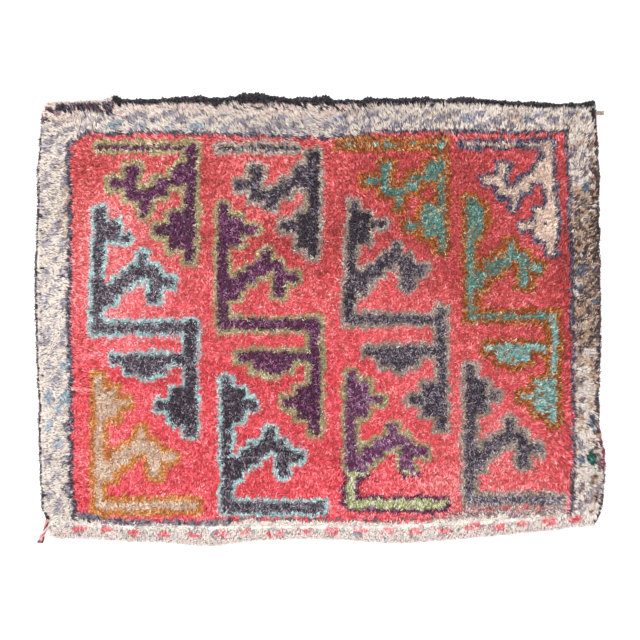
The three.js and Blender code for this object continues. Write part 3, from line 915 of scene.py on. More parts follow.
@dataclass
class RightBorder(Border):
    """The right border: cream at its ends, tan along its middle, and dense bark above that."""

    way: Rows = ((-70, 135), (-30, 60))
    ash: float = 0.75
    tone: float = -0.25
    low_to: float = -70
    low_paler: float = 0.12
    tan_rise: Pair = (-70, -5)
    tan_fall: Pair = (118, 150)
    tan_drift: Grain = Grain((5, 5), (40, 0), 0.9)
    tan_stray: float = 0.2
    tan_over: float = 0.85
    tan_gain: float = 0.75
    tan_middle: float = 0.3
    bark_rise: Pair = (5, 30)
    bark_fall: Pair = (112, 136)
    bark_fleck: Grain = Grain((2.6, 3.2), (5, 0))
    bark_stray: float = 0.3
    bark_over: float = 1.2
    bark_gain: float = 0.95
    bark_kind: float = 0.85
    bark_mix: Mix = Mix(((0.85, Yarn.BARK),), Yarn.GUARD)
    bark_tone: float = 0.1
    blotches: Blotches = Blotches((7.5, 16, 23), 15.5, 8, 4.6, 2.9, -0.5, SEED + 6)
    blotch_tied: float = 0.92
    blotch_kinds: Rows = ((-80, 0.5), (110, 0.1))
    blotch_mix: Mix = Mix(((0.5, Yarn.LAVENDER),), Yarn.MAUVE)
    blotch_tone: float = -0.15
    slate_kind: float = 0.78
    slate_tone: float = -0.6
    rim_out: float = 19.5
    rim_rows: Pair = (-185, -120)
    rim_tied: Pair = (0.08, 0.22)

    def paint(self, knots: Knots, on: Array, out: Array) -> None:
        """Paints the cream, the tan over it, the blotches, the bark and the fringe."""
        x, y, chance = knots.x, knots.y, knots.chance
        self.cream(knots, on, between(self.way, y), self.ash, self.tone)
        knots.tones[on & (y < self.low_to)] += self.low_paler
        tan = swell(self.tan_rise, self.tan_fall, y)
        drift = 0.5 + self.tan_drift.read(self.mottle, x, y) + self.tan_stray * (chance - 0.5)
        knots.tie(on & (drift > self.tan_over - self.tan_gain * tan), Yarn.TAN)
        blotch, kind = self.blotches.place(out, y)
        often = (kind > between(self.blotch_kinds, y)) | (tan > self.tan_middle)
        spot = on & (blotch >= 0) & (chance < self.blotch_tied) & often
        knots.tie(spot, self.blotch_mix.pick(chance), self.blotch_tone)
        knots.tie(spot & (kind > self.slate_kind), Yarn.SLATE, self.slate_tone)
        fleck = self.bark_fleck.read(self.mottle, x, y) + self.bark_stray * (chance - 0.5)
        dense = swell(self.bark_rise, self.bark_fall, y)
        bark = spot & (tan > self.tan_middle) & (kind < self.bark_kind)
        bark |= on & (blotch < 0) & (fleck > self.bark_over - self.bark_gain * dense)
        knots.tie(bark, self.bark_mix.pick(knots.drawn_again(7)), self.bark_tone)
        fringe = chance < self.rim_tied[0] + self.rim_tied[1] * smooth_step(*self.rim_rows, y)
        knots.tie(on & (out > self.rim_out) & fringe, Yarn.BARK)


@dataclass
class BottomBorder(Border):
    """The lower border: white, then blush, with a row of red lozenges and lavender painted shadow round,
    under and between them.
    """

    way: float = 90
    ash: float = 1.3
    tone: float = 0.35
    line: Rows = (
        (-242, -208.5), (-214, -210.1), (-187, -212.1), (-158, -214.3), (-100, -214), (-75, -211.7),
        (-42, -212.7), (13, -210.5), (70, -211.5), (123, -209.6), (153, -206.8), (203, -204.7),
        (226, -201.3), (255, -199.2),
    )
    outer_from: float = -1
    outer_mix: Mix = Mix(((0.1, Yarn.ASH), (0.75, Yarn.BLUSH)), Yarn.CREAM)
    outer_tone: float = 0.45
    start: float = -241.5
    pitch: float = 27.6
    wandering: Rows = (
        (-240, 0), (-140, 3), (-125, 7), (-70, 0), (-40, 4), (20, 5), (120, 7), (160, 7), (205, 2), (255, 0),
    )
    lozenges_from: float = -256
    lozenge: Pair = (7.8, 2.8)
    faint: Rows = ((-170, 0), (-120, 0.5), (130, 0.6), (190, 0.35), (255, 0))
    faint_gain: float = 0.45
    mix: Mix = Mix(((0.72, Yarn.ROSE), (1.0, Yarn.PINK)), Yarn.BLUSH)
    red_tone: Pair = (0.2, 0.4)
    # Painted shadow: lavender knots in a halo round each lozenge.
    halo_shadow: Pair = (9.5, 4.2)
    halo_shadow_up: float = 0.6
    halo_shadow_tied: float = 0.35
    # Painted shadow: lavender knots under each lozenge.
    foot: Pair = (-2.5, 3.8)
    under_shadow_half: Pair = (4.5, 1.4)
    under_shadow_tied: float = 0.45
    # Painted shadow: a thin lavender line along the row, where the pile parts.
    parting_shadow_up: float = 0.8
    parting_shadow_half: float = 0.8
    parting_shadow_tied: float = 0.35

    def paint(self, knots: Knots, on: Array, out: Array) -> None:
        """Paints the white rows, the blush below them, the row of lozenges and the lavender painted shadow by
        them.
        """
        x, chance = knots.x, knots.chance
        below = between(self.line, x) - knots.y
        self.cream(knots, on, self.way, self.ash, self.tone)
        knots.tie(on & (below > self.outer_from), self.outer_mix.pick(chance), self.outer_tone)
        turn = (x - self.start - between(self.wandering, x)) / self.pitch
        off = (turn - np.round(turn)) * self.pitch
        inside = on & (x > self.lozenges_from)
        lozenge = inside & ((off / self.lozenge[0]) ** 2 + (below / self.lozenge[1]) ** 2 < 1)
        # Painted shadow: lavender round each lozenge.
        halo_shadow = (off / self.halo_shadow[0]) ** 2 + ((below + self.halo_shadow_up) / self.halo_shadow[1]) ** 2 < 1
        knots.tie(inside & ~lozenge & halo_shadow & (chance < self.halo_shadow_tied), Yarn.LAVENDER)
        # Painted shadow: lavender under each lozenge.
        foot = np.abs(off - self.foot[0]) < self.under_shadow_half[0]
        foot &= np.abs(below - self.foot[1]) < self.under_shadow_half[1]
        knots.tie(inside & ~lozenge & foot & (chance < self.under_shadow_tied), Yarn.LAVENDER)
        # Painted shadow: a thin lavender line along the lozenge row, where the pile parts.
        thread = (np.abs(below + self.parting_shadow_up) < self.parting_shadow_half) & (chance < self.parting_shadow_tied)
        knots.tie(on & ~lozenge & thread, Yarn.LAVENDER)
        faint = between(self.faint, x)
        shade = knots.drawn_again(3) + self.faint_gain * faint
        knots.tie(lozenge, self.mix.pick(shade), self.red_tone[0] + self.red_tone[1] * faint)


class Chart:
    """The rug's chart: which yarn each knot has, and how deep or pale it is."""

    streak = Block(-248, -231, -71.5, -68.5)
    green = Block(266, 276, -146, -130)
    sway = Grain((9, 9), weight=1.1)
    slip_across = Grain((3.6, 3.6), (11, 0), 0.9)
    slip_up = Grain((3.6, 3.6), (0, 17), 0.9)
    rough = Grain((4.2, 4.2), (30, 0), 1.3)
    fleck = Grain((3.5, 3.5), weight=0.3)
    cloud = Grain((17, 17), (9, 5), 0.15)

    def __init__(self) -> None:
        """Makes the noise by which hand-tied knots wander, the field and the borders, in painting order."""
        self.wander = (SmoothNoise(SEED), SmoothNoise(SEED + 1))
        self.mottle = SmoothNoise(SEED + 2)
        self.field = Field(self.mottle)
        noise = (self.mottle, self.wander[0])
        self.borders: dict[Side, Border] = {
            Side.LEFT: LeftBorder(*noise),
            Side.RIGHT: RightBorder(*noise),
            Side.TOP: TopBorder(*noise),
            Side.BOTTOM: BottomBorder(*noise),
        }

    def knots(self, x: Array, y: Array, chance: Array) -> tuple[Numbers, Array]:
        """Gives the yarn and tone at chart points.

        Args:
            x: Squares to the right of the rug's middle.
            y: Squares above it.
            chance: A number from 0 to 1 drawn for each knot, by which stray yarns are tied.

        Returns:
            The yarn and the tone of each knot.
        """
        u = x + self.sway.read(self.wander[0], x, y) + self.slip_across.read(self.wander[1], x, y)
        v = y + self.sway.read(self.wander[1], x, y) + self.slip_up.read(self.wander[0], x, y)
        knots = Knots(u, v, chance, np.zeros(len(u), int), np.zeros(len(u)))
        self.field.paint(knots)
        out = self.distances(u, v)
        level = (out[Side.TOP] <= 0) & (out[Side.BOTTOM] <= 0)
        for side, border in self.borders.items():
            on = out[side] > 0
            if side in (Side.LEFT, Side.RIGHT):
                on &= level
            border.paint(knots, on, out[side])
        nearest = np.maximum.reduce(list(out.values()))
        rough = self.rough.read(self.mottle, x, y)
        for side, line in GUARDS.items():
            line.paint(knots, (np.abs(out[side] + rough) < line.half) & (nearest + rough < line.half))
        knots.tie(self.streak.holds(u, v), Yarn.PINK)
        knots.tie(self.green.rounds(u, v), Yarn.GREEN)
        knots.tones += self.fleck.read(self.mottle, x, y) + self.cloud.read(self.mottle, x, y)
        return knots.yarns, knots.tones

    @staticmethod
    def distances(x: Array, y: Array) -> dict[Side, Array]:
        """Gives how far points lie out from each guard line, in squares."""
        return {
            Side.TOP: y - GUARDS[Side.TOP].across(x),
            Side.BOTTOM: GUARDS[Side.BOTTOM].across(x) - y,
            Side.LEFT: GUARDS[Side.LEFT].across(y) - x,
            Side.RIGHT: x - GUARDS[Side.RIGHT].across(y),
        }


# The woven edge, counterclockwise from the lower left corner, in millimetres of the frame.
CORNERS = ((-543.4, -428.0), (547.1, -406.5), (545.6, 426.3), (-551.9, 428.3))
BOTTOM_EDGE = (
    (-522.9, -432.2), (-472.9, -433.2), (-382.9, -438.7), (-302.9, -441.4), (-216.9, -447.4),
    (-122.9, -437.2), (-22.9, -433.2), (67.1, -437.0), (157.1, -442.4), (267.1, -435.2), (357.1, -427.0),
    (437.1, -418.9), (497.1, -411.7),
)
RIGHT_EDGE = (
    (557.3, -368.7), (562.9, -288.7), (555.9, -223.7), (552.3, -186.7), (554.8, -73.7), (553.8, 111.3),
    (550.9, 201.3), (551.3, 266.3), (550.6, 331.3), (547.8, 391.3),
)
TOP_EDGE = (
    (447.1, 424.8), (367.1, 428.3), (287.1, 432.3), (157.1, 431.8), (37.1, 431.8), (-122.9, 435.8),
    (-282.9, 433.8), (-432.9, 432.3),
)
LEFT_EDGE = (
    (-557.9, 341.3), (-562.4, 286.3), (-560.9, 251.3), (-565.9, 101.3), (-564.9, 1.3), (-562.4, -98.7),
    (-557.4, -168.7), (-559.9, -193.7), (-557.4, -248.7), (-554.9, -338.7), (-549.9, -388.7),
)


class Plan:
    """The rug's plan: shares of its width and height become points, blended from its four sides."""

    samples = 12
    rim = 2.4 * MM
    foot = 7.2 * MM
    slope = (2 * MM, 17 * MM)

    def __init__(self) -> None:
        """Lays a smooth curve along each side."""
        low_left, low_right, high_right, high_left = CORNERS
        self.bottom = self.curve((low_left, *BOTTOM_EDGE, low_right))
        self.right = self.curve((low_right, *RIGHT_EDGE, high_right))
        self.top = self.curve((high_right, *TOP_EDGE, high_left))[::-1]
        self.left = self.curve((high_left, *LEFT_EDGE, low_left))[::-1]
        self.corners = np.array(CORNERS) * MM
        self.width = self.length(self.bottom)
        self.height = self.length(self.left)

    def curve(self, rows: Rows) -> Array:
        """Runs a Catmull-Rom curve through points: each stretch is a cubic, sloped by its neighbours."""
        p = np.array(rows) * MM
        p = np.vstack([2 * p[0] - p[1], p, 2 * p[-1] - p[-2]])
        t = np.linspace(0, 1, self.samples, endpoint=False)[:, None]
        a, b, c, d = p[:-3], p[1:-2], p[2:-1], p[3:]
        parts = [
            0.5 * (2 * b[i] + (c[i] - a[i]) * t + (2 * a[i] - 5 * b[i] + 4 * c[i] - d[i]) * t**2
                   + (3 * b[i] - a[i] - 3 * c[i] + d[i]) * t**3)
            for i in range(len(b))
        ]
        return np.vstack([*parts, p[-2:-1]])

    @staticmethod
    def length(line: Array) -> float:
        """Gives a line's length."""
        return float(np.linalg.norm(np.diff(line, axis=0), axis=1).sum())

    @staticmethod
    def at(line: Array, share: Array) -> Array:
        """Gives the points at shares of a line's length."""
        steps = np.concatenate([[0], np.cumsum(np.linalg.norm(np.diff(line, axis=0), axis=1))])
        place = share * steps[-1]
        return np.stack([np.interp(place, steps, line[:, k]) for k in (0, 1)], axis=-1)

    def points(self, u: Array, v: Array) -> Array:
        """Blends the sides into a Coons patch.

        Args:
            u: Share of the width, from the left.
            v: Share of the height, from the bottom.

        Returns:
            Points of the plan in metres, one a share.
        """
        s, t = u[..., None], v[..., None]
        c = self.corners
        between = (1 - t) * self.at(self.bottom, u) + t * self.at(self.top, u)
        between += (1 - s) * self.at(self.left, v) + s * self.at(self.right, v)
        flat = (1 - t) * ((1 - s) * c[0] + s * c[1]) + t * ((1 - s) * c[3] + s * c[2])
        return between - flat

    def height_at(self, u: Array, v: Array) -> Array:
        """Gives the top of the ground with the pile's dense foot: thin at the rim, and thicker inside."""
        near = np.minimum(np.minimum(u, 1 - u) * self.width, np.minimum(v, 1 - v) * self.height)
        return self.rim + (self.foot - self.rim) * smooth_step(*self.slope, near)


def new_mesh(name: str, points: Array, faces: Numbers, smooth: bool = True) -> Piece:
    """Makes an object from arrays of points and of faces with one number of corners.

    Args:
        name: The piece's name.
        points: Points in metres, in the frame.
        faces: Corner numbers, one row a face.
        smooth: Whether the faces are shaded smooth.

    Returns:
        The new object, linked to the scene.
    """
    mesh = bpy.data.meshes.new(name)
    count, corners = faces.shape
    mesh.vertices.add(len(points))
    mesh.vertices.foreach_set("co", points.astype(np.float32).ravel())
    mesh.loops.add(count * corners)
    mesh.loops.foreach_set("vertex_index", faces.astype(np.int32).ravel())
    mesh.polygons.add(count)
    mesh.polygons.foreach_set("loop_start", np.arange(0, count * corners, corners, dtype=np.int32))
    mesh.polygons.foreach_set("loop_total", np.full(count, corners, np.int32))
    mesh.polygons.foreach_set("use_smooth", np.full(count, smooth))
    mesh.update(calc_edges=True)
    mesh.validate()
    piece = bpy.data.objects.new(name, mesh)
    bpy.context.scene.collection.objects.link(piece)
    return piece


def paint(piece: Piece, colours: Array) -> None:
    """Stores one linear colour a point as the attribute named yarn."""
    attribute = piece.data.color_attributes.new("yarn", "FLOAT_COLOR", "POINT")
    full = np.ones((len(colours), 4), np.float32)
    full[:, :3] = colours
    attribute.data.foreach_set("color", full.ravel())


def unwrap(piece: Piece, name: str, places: Array) -> None:
    """Stores one place on the map a face corner."""
    layer = piece.data.uv_layers.new(name=name)
    layer.data.foreach_set("uv", places.astype(np.float32).ravel())


def unwrap_points(piece: Piece, name: str, places: Array) -> None:
    """Stores one place on the map a point."""
    corners = np.zeros(len(piece.data.loops), np.int32)
    piece.data.loops.foreach_get("vertex_index", corners)
    unwrap(piece, name, places[corners])


def around(sides: int) -> Array:
    """Gives the angles of the sides of a ring."""
    return 2 * math.pi * np.arange(sides) / sides


def tube(points: Array) -> tuple[Array, Numbers]:
    """Closes rings of points into a tube with a middle point at each end.

    Args:
        points: Points of the rings, along the tube and round it.

    Returns:
        The points in one row with both middles behind them, and the faces.
    """
    count, sides = points.shape[:2]
    number = np.arange(count * sides).reshape(count, sides)
    beside = np.roll(number, -1, axis=1)
    a, b, c, d = (g.ravel() for g in (number[:-1], beside[:-1], beside[1:], number[1:]))
    first, last = count * sides, count * sides + 1
    faces = [
        np.column_stack([a, b, c]),
        np.column_stack([a, c, d]),
        np.column_stack([beside[0], number[0], np.full(sides, first)]),
        np.column_stack([number[-1], beside[-1], np.full(sides, last)]),
    ]
    middles = np.array([points[0].mean(0), points[-1].mean(0)])
    return np.vstack([points.reshape(-1, 3), middles]), np.vstack(faces)


@dataclass(frozen=True)
class WoolFinish:
    """Matt wool. Its colour comes from the attribute yarn, with streaks of fibre along each strand."""

    name: str
    streaks: tuple[float, float, float]
    streak_depth: float
    roughness: float = 0.92
    specular: float = 0.15
    sheen: float = 0.25
    sheen_roughness: float = 0.5
    noise_range: Pair = (0.25, 0.75)
    bump: float = 0.0
    bump_depth: float = 0.6 * MM
    map_name: str = "OFBake"

    def build(self) -> Material:
        """Builds the node tree: attribute colour times soft noise stretched along the strand."""
        material = bpy.data.materials.new(self.name)
        material.use_nodes = True
        nodes, links = material.node_tree.nodes, material.node_tree.links
        shader = nodes["Principled BSDF"]
        shader.inputs["Roughness"].default_value = self.roughness
        shader.inputs["Specular IOR Level"].default_value = self.specular
        shader.inputs["Sheen Weight"].default_value = self.sheen
        shader.inputs["Sheen Roughness"].default_value = self.sheen_roughness
        yarn = nodes.new("ShaderNodeAttribute")
        yarn.attribute_name = "yarn"
        place = nodes.new("ShaderNodeUVMap")
        place.uv_map = self.map_name
        stretch = nodes.new("ShaderNodeMapping")
        stretch.inputs["Scale"].default_value = self.streaks
        noise = nodes.new("ShaderNodeTexNoise")
        noise.inputs["Scale"].default_value = 1.0
        noise.inputs["Detail"].default_value = 1.0
        spread = nodes.new("ShaderNodeMapRange")
        spread.inputs["From Min"].default_value, spread.inputs["From Max"].default_value = self.noise_range
        spread.inputs["To Min"].default_value = 1 - self.streak_depth
        spread.inputs["To Max"].default_value = 1 + self.streak_depth
        mix = nodes.new("ShaderNodeVectorMath")
        mix.operation = "SCALE"
        links.new(place.outputs["UV"], stretch.inputs["Vector"])
        links.new(stretch.outputs["Vector"], noise.inputs["Vector"])
        links.new(noise.outputs["Fac"], spread.inputs["Value"])
        links.new(yarn.outputs["Color"], mix.inputs[0])
        links.new(spread.outputs["Result"], mix.inputs["Scale"])
        links.new(mix.outputs["Vector"], shader.inputs["Base Color"])
        if self.bump:
            relief = nodes.new("ShaderNodeBump")
            relief.inputs["Strength"].default_value = self.bump
            relief.inputs["Distance"].default_value = self.bump_depth
            links.new(noise.outputs["Fac"], relief.inputs["Height"])
            links.new(relief.outputs["Normal"], shader.inputs["Normal"])
        return material


@dataclass(frozen=True)
class Lie:
    """How the pile lies round one place.

    Its way is that of the tips, in degrees from the right. Flat runs from 0 to 1, and long is a share of the
    usual length.
    """

    x: float
    y: float
    way: float
    flat: float
    long: float = 1.0


# Places in squares. The tips point up over the field and out over the sides, and part at the lower border.
LIES = (
    Lie(-268, 208, 148, 0.9, 1.2), Lie(-232, 207, 120, 0.85, 1.2), Lie(-180, 207, 140, 0.85, 1.25),
    Lie(-100, 207, 137, 0.85, 1.25), Lie(-20, 207, 140, 0.85, 1.25), Lie(60, 207, 125, 0.8, 1.25),
    Lie(115, 206, 95, 0.75, 1.2), Lie(190, 206, 84, 0.75, 1.2), Lie(256, 206, 68, 0.8, 1.1),
    Lie(-205, 160, 118, 0.3), Lie(-110, 165, 140, 0.3), Lie(-15, 160, 155, 0.55), Lie(90, 160, 115, 0.25),
    Lie(215, 160, 95, 0.25),
    Lie(-266, 160, 180, 0.85), Lie(-266, 90, 178, 0.8), Lie(-266, 20, 182, 0.8), Lie(-266, -50, 178, 0.8),
    Lie(-266, -120, 180, 0.8), Lie(-266, -180, 196, 0.7),
    Lie(-236, 100, 150, 0.2), Lie(-236, 0, 120, 0.15), Lie(-236, -110, 120, 0.15),
    Lie(262, 150, 64, 0.65), Lie(264, 90, 50, 0.55), Lie(264, 30, 55, 0.5), Lie(264, -40, 60, 0.5),
    Lie(264, -75, 10, 0.5), Lie(266, -110, 318, 0.7), Lie(268, -150, 315, 0.75), Lie(268, -185, 310, 0.7),
    Lie(-140, 90, 80, 0.15), Lie(0, 90, 110, 0.2), Lie(140, 90, 90, 0.15),
    Lie(-150, -10, 70, 0.1), Lie(0, 0, 100, 0.15), Lie(150, -10, 80, 0.15),
    Lie(-150, -100, 90, 0.2), Lie(0, -100, 80, 0.15), Lie(150, -100, 100, 0.2),
    Lie(-170, -178, 62, 0.5), Lie(-60, -180, 84, 0.4), Lie(60, -178, 88, 0.45), Lie(180, -178, 96, 0.45),
    Lie(-230, -201, 95, 0.6), Lie(-130, -204, 90, 0.6), Lie(-20, -202, 88, 0.6), Lie(90, -204, 92, 0.6),
    Lie(190, -198, 90, 0.6),
    Lie(-268, -208, 220, 0.9), Lie(270, -200, 305, 0.8),
)


@dataclass
class Comb:
    """The lie of the pile over the whole rug: each row of the table weighs less the further it is.

    Below the parting the pile lies straight out over the lower edge, and fans out a little.
    """

    reach: float = 9.0
    parting: Rows = (
        (-280, -203), (-240, -206), (-200, -207.5), (-60, -207.5), (60, -208), (160, -203), (250, -198),
        (280, -196),
    )
    parting_half: float = 1.5
    rim_fan: float = 0.0012
    rim_flat: float = 1.0
    rim_long: float = 0.68

    def __call__(self, x: Array, y: Array) -> tuple[Array, Array, Array]:
        """Blends the rows at places in squares: each weighs one over the square of its squared distance.

        Args:
            x: Squares to the right of the rug's middle.
            y: Squares above it.

        Returns:
            The level push of each place, longer where the pile lies flatter, the pile's length as a share of
            the usual one, and how far the place is below the parting, from 0 to 1.
        """
        angle = np.radians([lie.way for lie in LIES])
        flat = np.array([lie.flat for lie in LIES])
        rows = np.column_stack([np.cos(angle) * flat, np.sin(angle) * flat, [lie.long for lie in LIES]])
        at = np.array([(lie.x, lie.y) for lie in LIES])
        squared = (x[:, None] - at[None, :, 0]) ** 2 + (y[:, None] - at[None, :, 1]) ** 2
        weight = 1 / (squared + self.reach**2) ** 2
        mean = (weight @ rows) / weight.sum(axis=1, keepdims=True)
        below = smooth_step(-self.parting_half, self.parting_half, between(self.parting, x) - y)[:, None]
        level = np.ones(len(x))
        out = np.column_stack([self.rim_fan * x, -self.rim_flat * level, self.rim_long * level])
        mean += below * (out - mean)
        return mean[:, :2], mean[:, 2], below[:, 0]


@dataclass
class Lock:
    """The form of one lock of pile: a blade that is widest where it bends over, closed behind by its ends."""

    half_width: float = 1.05 * MM
    faces: tuple[tuple[int, int, int], ...] = ((0, 2, 1), (3, 1, 2), (0, 1, 3), (3, 2, 0))
    places: tuple[Pair, ...] = ((0.5, 0.0), (0.0, 0.5), (1.0, 0.5), (0.5, 1.0))

    def points(self, root: Array, way: Array, length: Array, bend_at: Array, lean: Array, curl: Array,
               turn: Array, fat: Array) -> Array:
        """Bends each lock: up its lean from the root, then over by its curl to the tip.

        Args:
            root: Foot of each lock.
            way: Level direction in which it leans.
            length: Its length.
            bend_at: Share of its length at which it bends.
            lean: Angle of its lower part from upright.
            curl: Angle of its upper part from upright, more than its lean.
            turn: Turn of the blade about its own length, less than a quarter.
            fat: Its width, as a share of the usual one.

        Returns:
            Points of each lock: root, left and right of the bend, and tip.
        """
        level = np.concatenate([way, np.zeros((len(way), 1))], axis=1)
        up = np.array([0.0, 0.0, 1.0])
        low = np.sin(lean)[:, None] * level + np.cos(lean)[:, None] * up
        high = np.sin(curl)[:, None] * level + np.cos(curl)[:, None] * up
        bend = root + low * (length * bend_at)[:, None]
        tip = bend + high * (length * (1 - bend_at))[:, None]
        side = np.stack([-way[:, 1], way[:, 0], np.zeros(len(way))], axis=1)
        along = low + high
        along /= np.linalg.norm(along, axis=1, keepdims=True)
        across = np.cos(turn)[:, None] * side + np.sin(turn)[:, None] * np.cross(along, side)
        half = across * (self.half_width * fat)[:, None]
        return np.stack([root, bend + half, bend - half, tip], axis=1)


@dataclass
class Locks:
    """All the pile's locks, one row each, as they are laid and combed.

    Each has its shares of the plan's width and height, its knot's number and its place in metres. Comb is the
    comb's push, long its length as a share of the usual one, and way its level direction. From 0 to 1, below
    tells how far it is below the parting, flat how flat it lies, and calm how calm it is.
    """

    u: Array
    v: Array
    knot: Numbers
    place: Array
    comb: Array
    long: Array
    below: Array
    way: Array
    flat: Array
    calm: Array


@dataclass
class Pile:
    """The knotted pile: rows of knots over the whole plan, each of eight locks combed over.

    The upper margins are rows of share and millimetres. Length, lean and curl are each a base, and a gain
    times how flat the pile lies.
    """

    across: int = 178
    up: int = 137
    strips: int = 5
    seed: int = SEED + 10
    spots: tuple[Pair, ...] = tuple((x, y) for y in (-0.25, 0.25) for x in (-0.375, -0.125, 0.125, 0.375))
    jitter: float = 0.25
    jitter_shape: Pair = (0.6, 1.1)
    knot_jitter: float = 0.3
    side_margins: Pair = (5.5 * MM, 0.5 * MM)
    top_margins: Rows = ((0, 0.5), (0.11, 1), (0.14, 7.5), (1, 7.5))
    sway: Grain = Grain((0.045, 0.045), weight=0.5)
    tuft: Grain = Grain((0.011, 0.011), weight=0.75)
    own_way: float = 0.2
    rim_calm: float = 0.75
    lain_calm: float = 0.35
    lain: Pair = (0.55, 0.85)
    loose: float = 0.2
    loose_reach: float = 1.15
    swirl: Grain = Grain((0.016, 0.016), (20, 31))
    swirl_push: float = 0.12
    gathering: float = 0.18
    push_range: Pair = (0.02, 1.0)
    sunk: float = 1.0 * MM
    length: Pair = (10.2 * MM, 5.2 * MM)
    heap: Grain = Grain((0.05, 0.05))
    tussock: Grain = Grain((0.021, 0.021), weight=0.6)
    heap_gain: float = 0.09
    length_spread: float = 0.1
    lean: Pair = (6, 32)
    lean_spread: float = 6
    rim_lean: float = 17
    curl: Pair = (34, 46)
    curl_spread: float = 10
    least_curl: float = 0.2
    bend_at: float = 0.55
    rim_bend: float = 0.25
    overhang: float = 6.5 * MM
    rim_waves: float = 24
    rim_wave: Grain = Grain((1, 1), (0, 9), 0.14)
    rim_rag: float = 0.06
    ceiling: float = 24 * MM
    turn: float = 1.0
    rim_turn_loss: float = 0.6
    fat: Pair = (0.75, 1.2)
    rim_fat: float = 0.5
    calm_fat_loss: float = 0.12
    lock: Lock = field(default_factory=Lock)
    together: float = 0.5
    drift: float = 3.9
    rim_drift: float = 2.6
    strayed: float = 0.45
    knot_tone: float = 0.5
    lock_tone: float = 0.55
    calm_lain: float = 0.75
    # Painted light on the locks: roots darkened as painted shade, tips lightened as a painted highlight, less
    # where calm.
    calm_painted_light_loss: float = 0.7
    painted_root_shadow: Pair = (0.62, 0.3)
    painted_tip_highlight: Pair = (1.24, -0.25)
    yarn_knot: Pair = (-546 * MM, -397 * MM)
    yarn_knot_clear: float = 6 * MM
    cell: Pair = (0.05, 0.9)

    def build(self, plan: Plan, chart: Chart, bath: DyeBath, finish: Material) -> list[Piece]:
        """Builds the pile in strips from left to right.

        Args:
            plan: The rug's plan.
            chart: The knots' yarns.
            bath: The yarns' colours.
            finish: The pile's material.

        Returns:
            One piece a strip.
        """
        rng = np.random.default_rng(self.seed)
        locks = self.lay(plan, rng)
        points = self.form(plan, locks, rng)
        colours = self.dye(chart, bath, locks, rng)
        strip = np.clip((locks.u * self.strips).astype(int), 0, self.strips - 1)
        away = np.linalg.norm(points[..., :2] - self.yarn_knot, axis=2)
        clear = (away > self.yarn_knot_clear).all(axis=1)
        pieces = []
        for k in range(self.strips):
            own = np.flatnonzero((strip == k) & clear)
            pieces.append(self.strip(f"pile_{k + 1}", points[own], colours[own], locks.calm[own], finish))
        return pieces

    def lay(self, plan: Plan, rng: Draws) -> Locks:
        """Sets the locks' roots in the knots, inside the margins, and combs the locks over.

        Args:
            plan: The rug's plan.
            rng: Draws where each root strays to.

        Returns:
            All the locks.
        """
        spots = np.array(self.spots)
        column, row = np.meshgrid(np.arange(self.across), np.arange(self.up))
        grid = np.column_stack([column.ravel(), row.ravel()])
        jitter = rng.uniform(-self.jitter, self.jitter, (len(grid), len(spots), 2)) * self.jitter_shape
        offset = spots[None] + jitter
        shift = rng.uniform(-self.knot_jitter, self.knot_jitter, (len(grid), 1, 2))
        share = np.clip((grid[:, None] + 0.5 + offset + shift) / (self.across, self.up), 0, 1)
        left, right = self.side_margins[0] / plan.width, 1 - self.side_margins[1] / plan.width
        u = left + (right - left) * share[..., 0].ravel()
        v = (1 - between(self.top_margins, u) * MM / plan.height) * share[..., 1].ravel()
        place = plan.points(u, v)
        comb, long, below = Comb()(place[:, 0] / SQUARE, place[:, 1] / SQUARE)
        push = self.push(place, comb, -offset.reshape(-1, 2), below, rng)
        flat = np.linalg.norm(push, axis=1)
        calm = np.maximum(below, self.calm_lain * smooth_step(*self.lain, flat))
        knot = np.repeat(np.arange(len(grid)), len(spots))
        return Locks(u, v, knot, place, comb, long, below, push / flat[:, None], flat, calm)

    def push(self, place: Array, comb: Array, gather: Array, below: Array, rng: Draws) -> Array:
        """Pushes each lock over: by the comb, by its tuft's swirl, to its knot's middle, and by itself."""
        x, y = place[:, 0], place[:, 1]
        tufts = SmoothNoise(self.seed + 3)
        flat = np.linalg.norm(comb, axis=1)
        angle = self.sway.read(SmoothNoise(self.seed + 2), x, y) + self.tuft.read(tufts, x, y)
        angle += rng.normal(0, self.own_way, len(place))
        angle *= 1 - np.maximum(self.rim_calm * below, self.lain_calm * smooth_step(*self.lain, flat))
        turned = np.column_stack([
            comb[:, 0] * np.cos(angle) - comb[:, 1] * np.sin(angle),
            comb[:, 0] * np.sin(angle) + comb[:, 1] * np.cos(angle),
        ])
        loose = rng.normal(0, self.loose, (len(place), 2)) * (self.loose_reach - flat[:, None])
        swirl = 2 * math.pi * self.swirl.read(tufts, x, y)
        own = self.swirl_push * np.column_stack([np.cos(swirl), np.sin(swirl)]) * (1 - flat[:, None])
        push = turned + loose + own + self.gathering * gather
        size = np.maximum(np.linalg.norm(push, axis=1, keepdims=True), LEAST)
        return push / size * np.clip(size, *self.push_range)

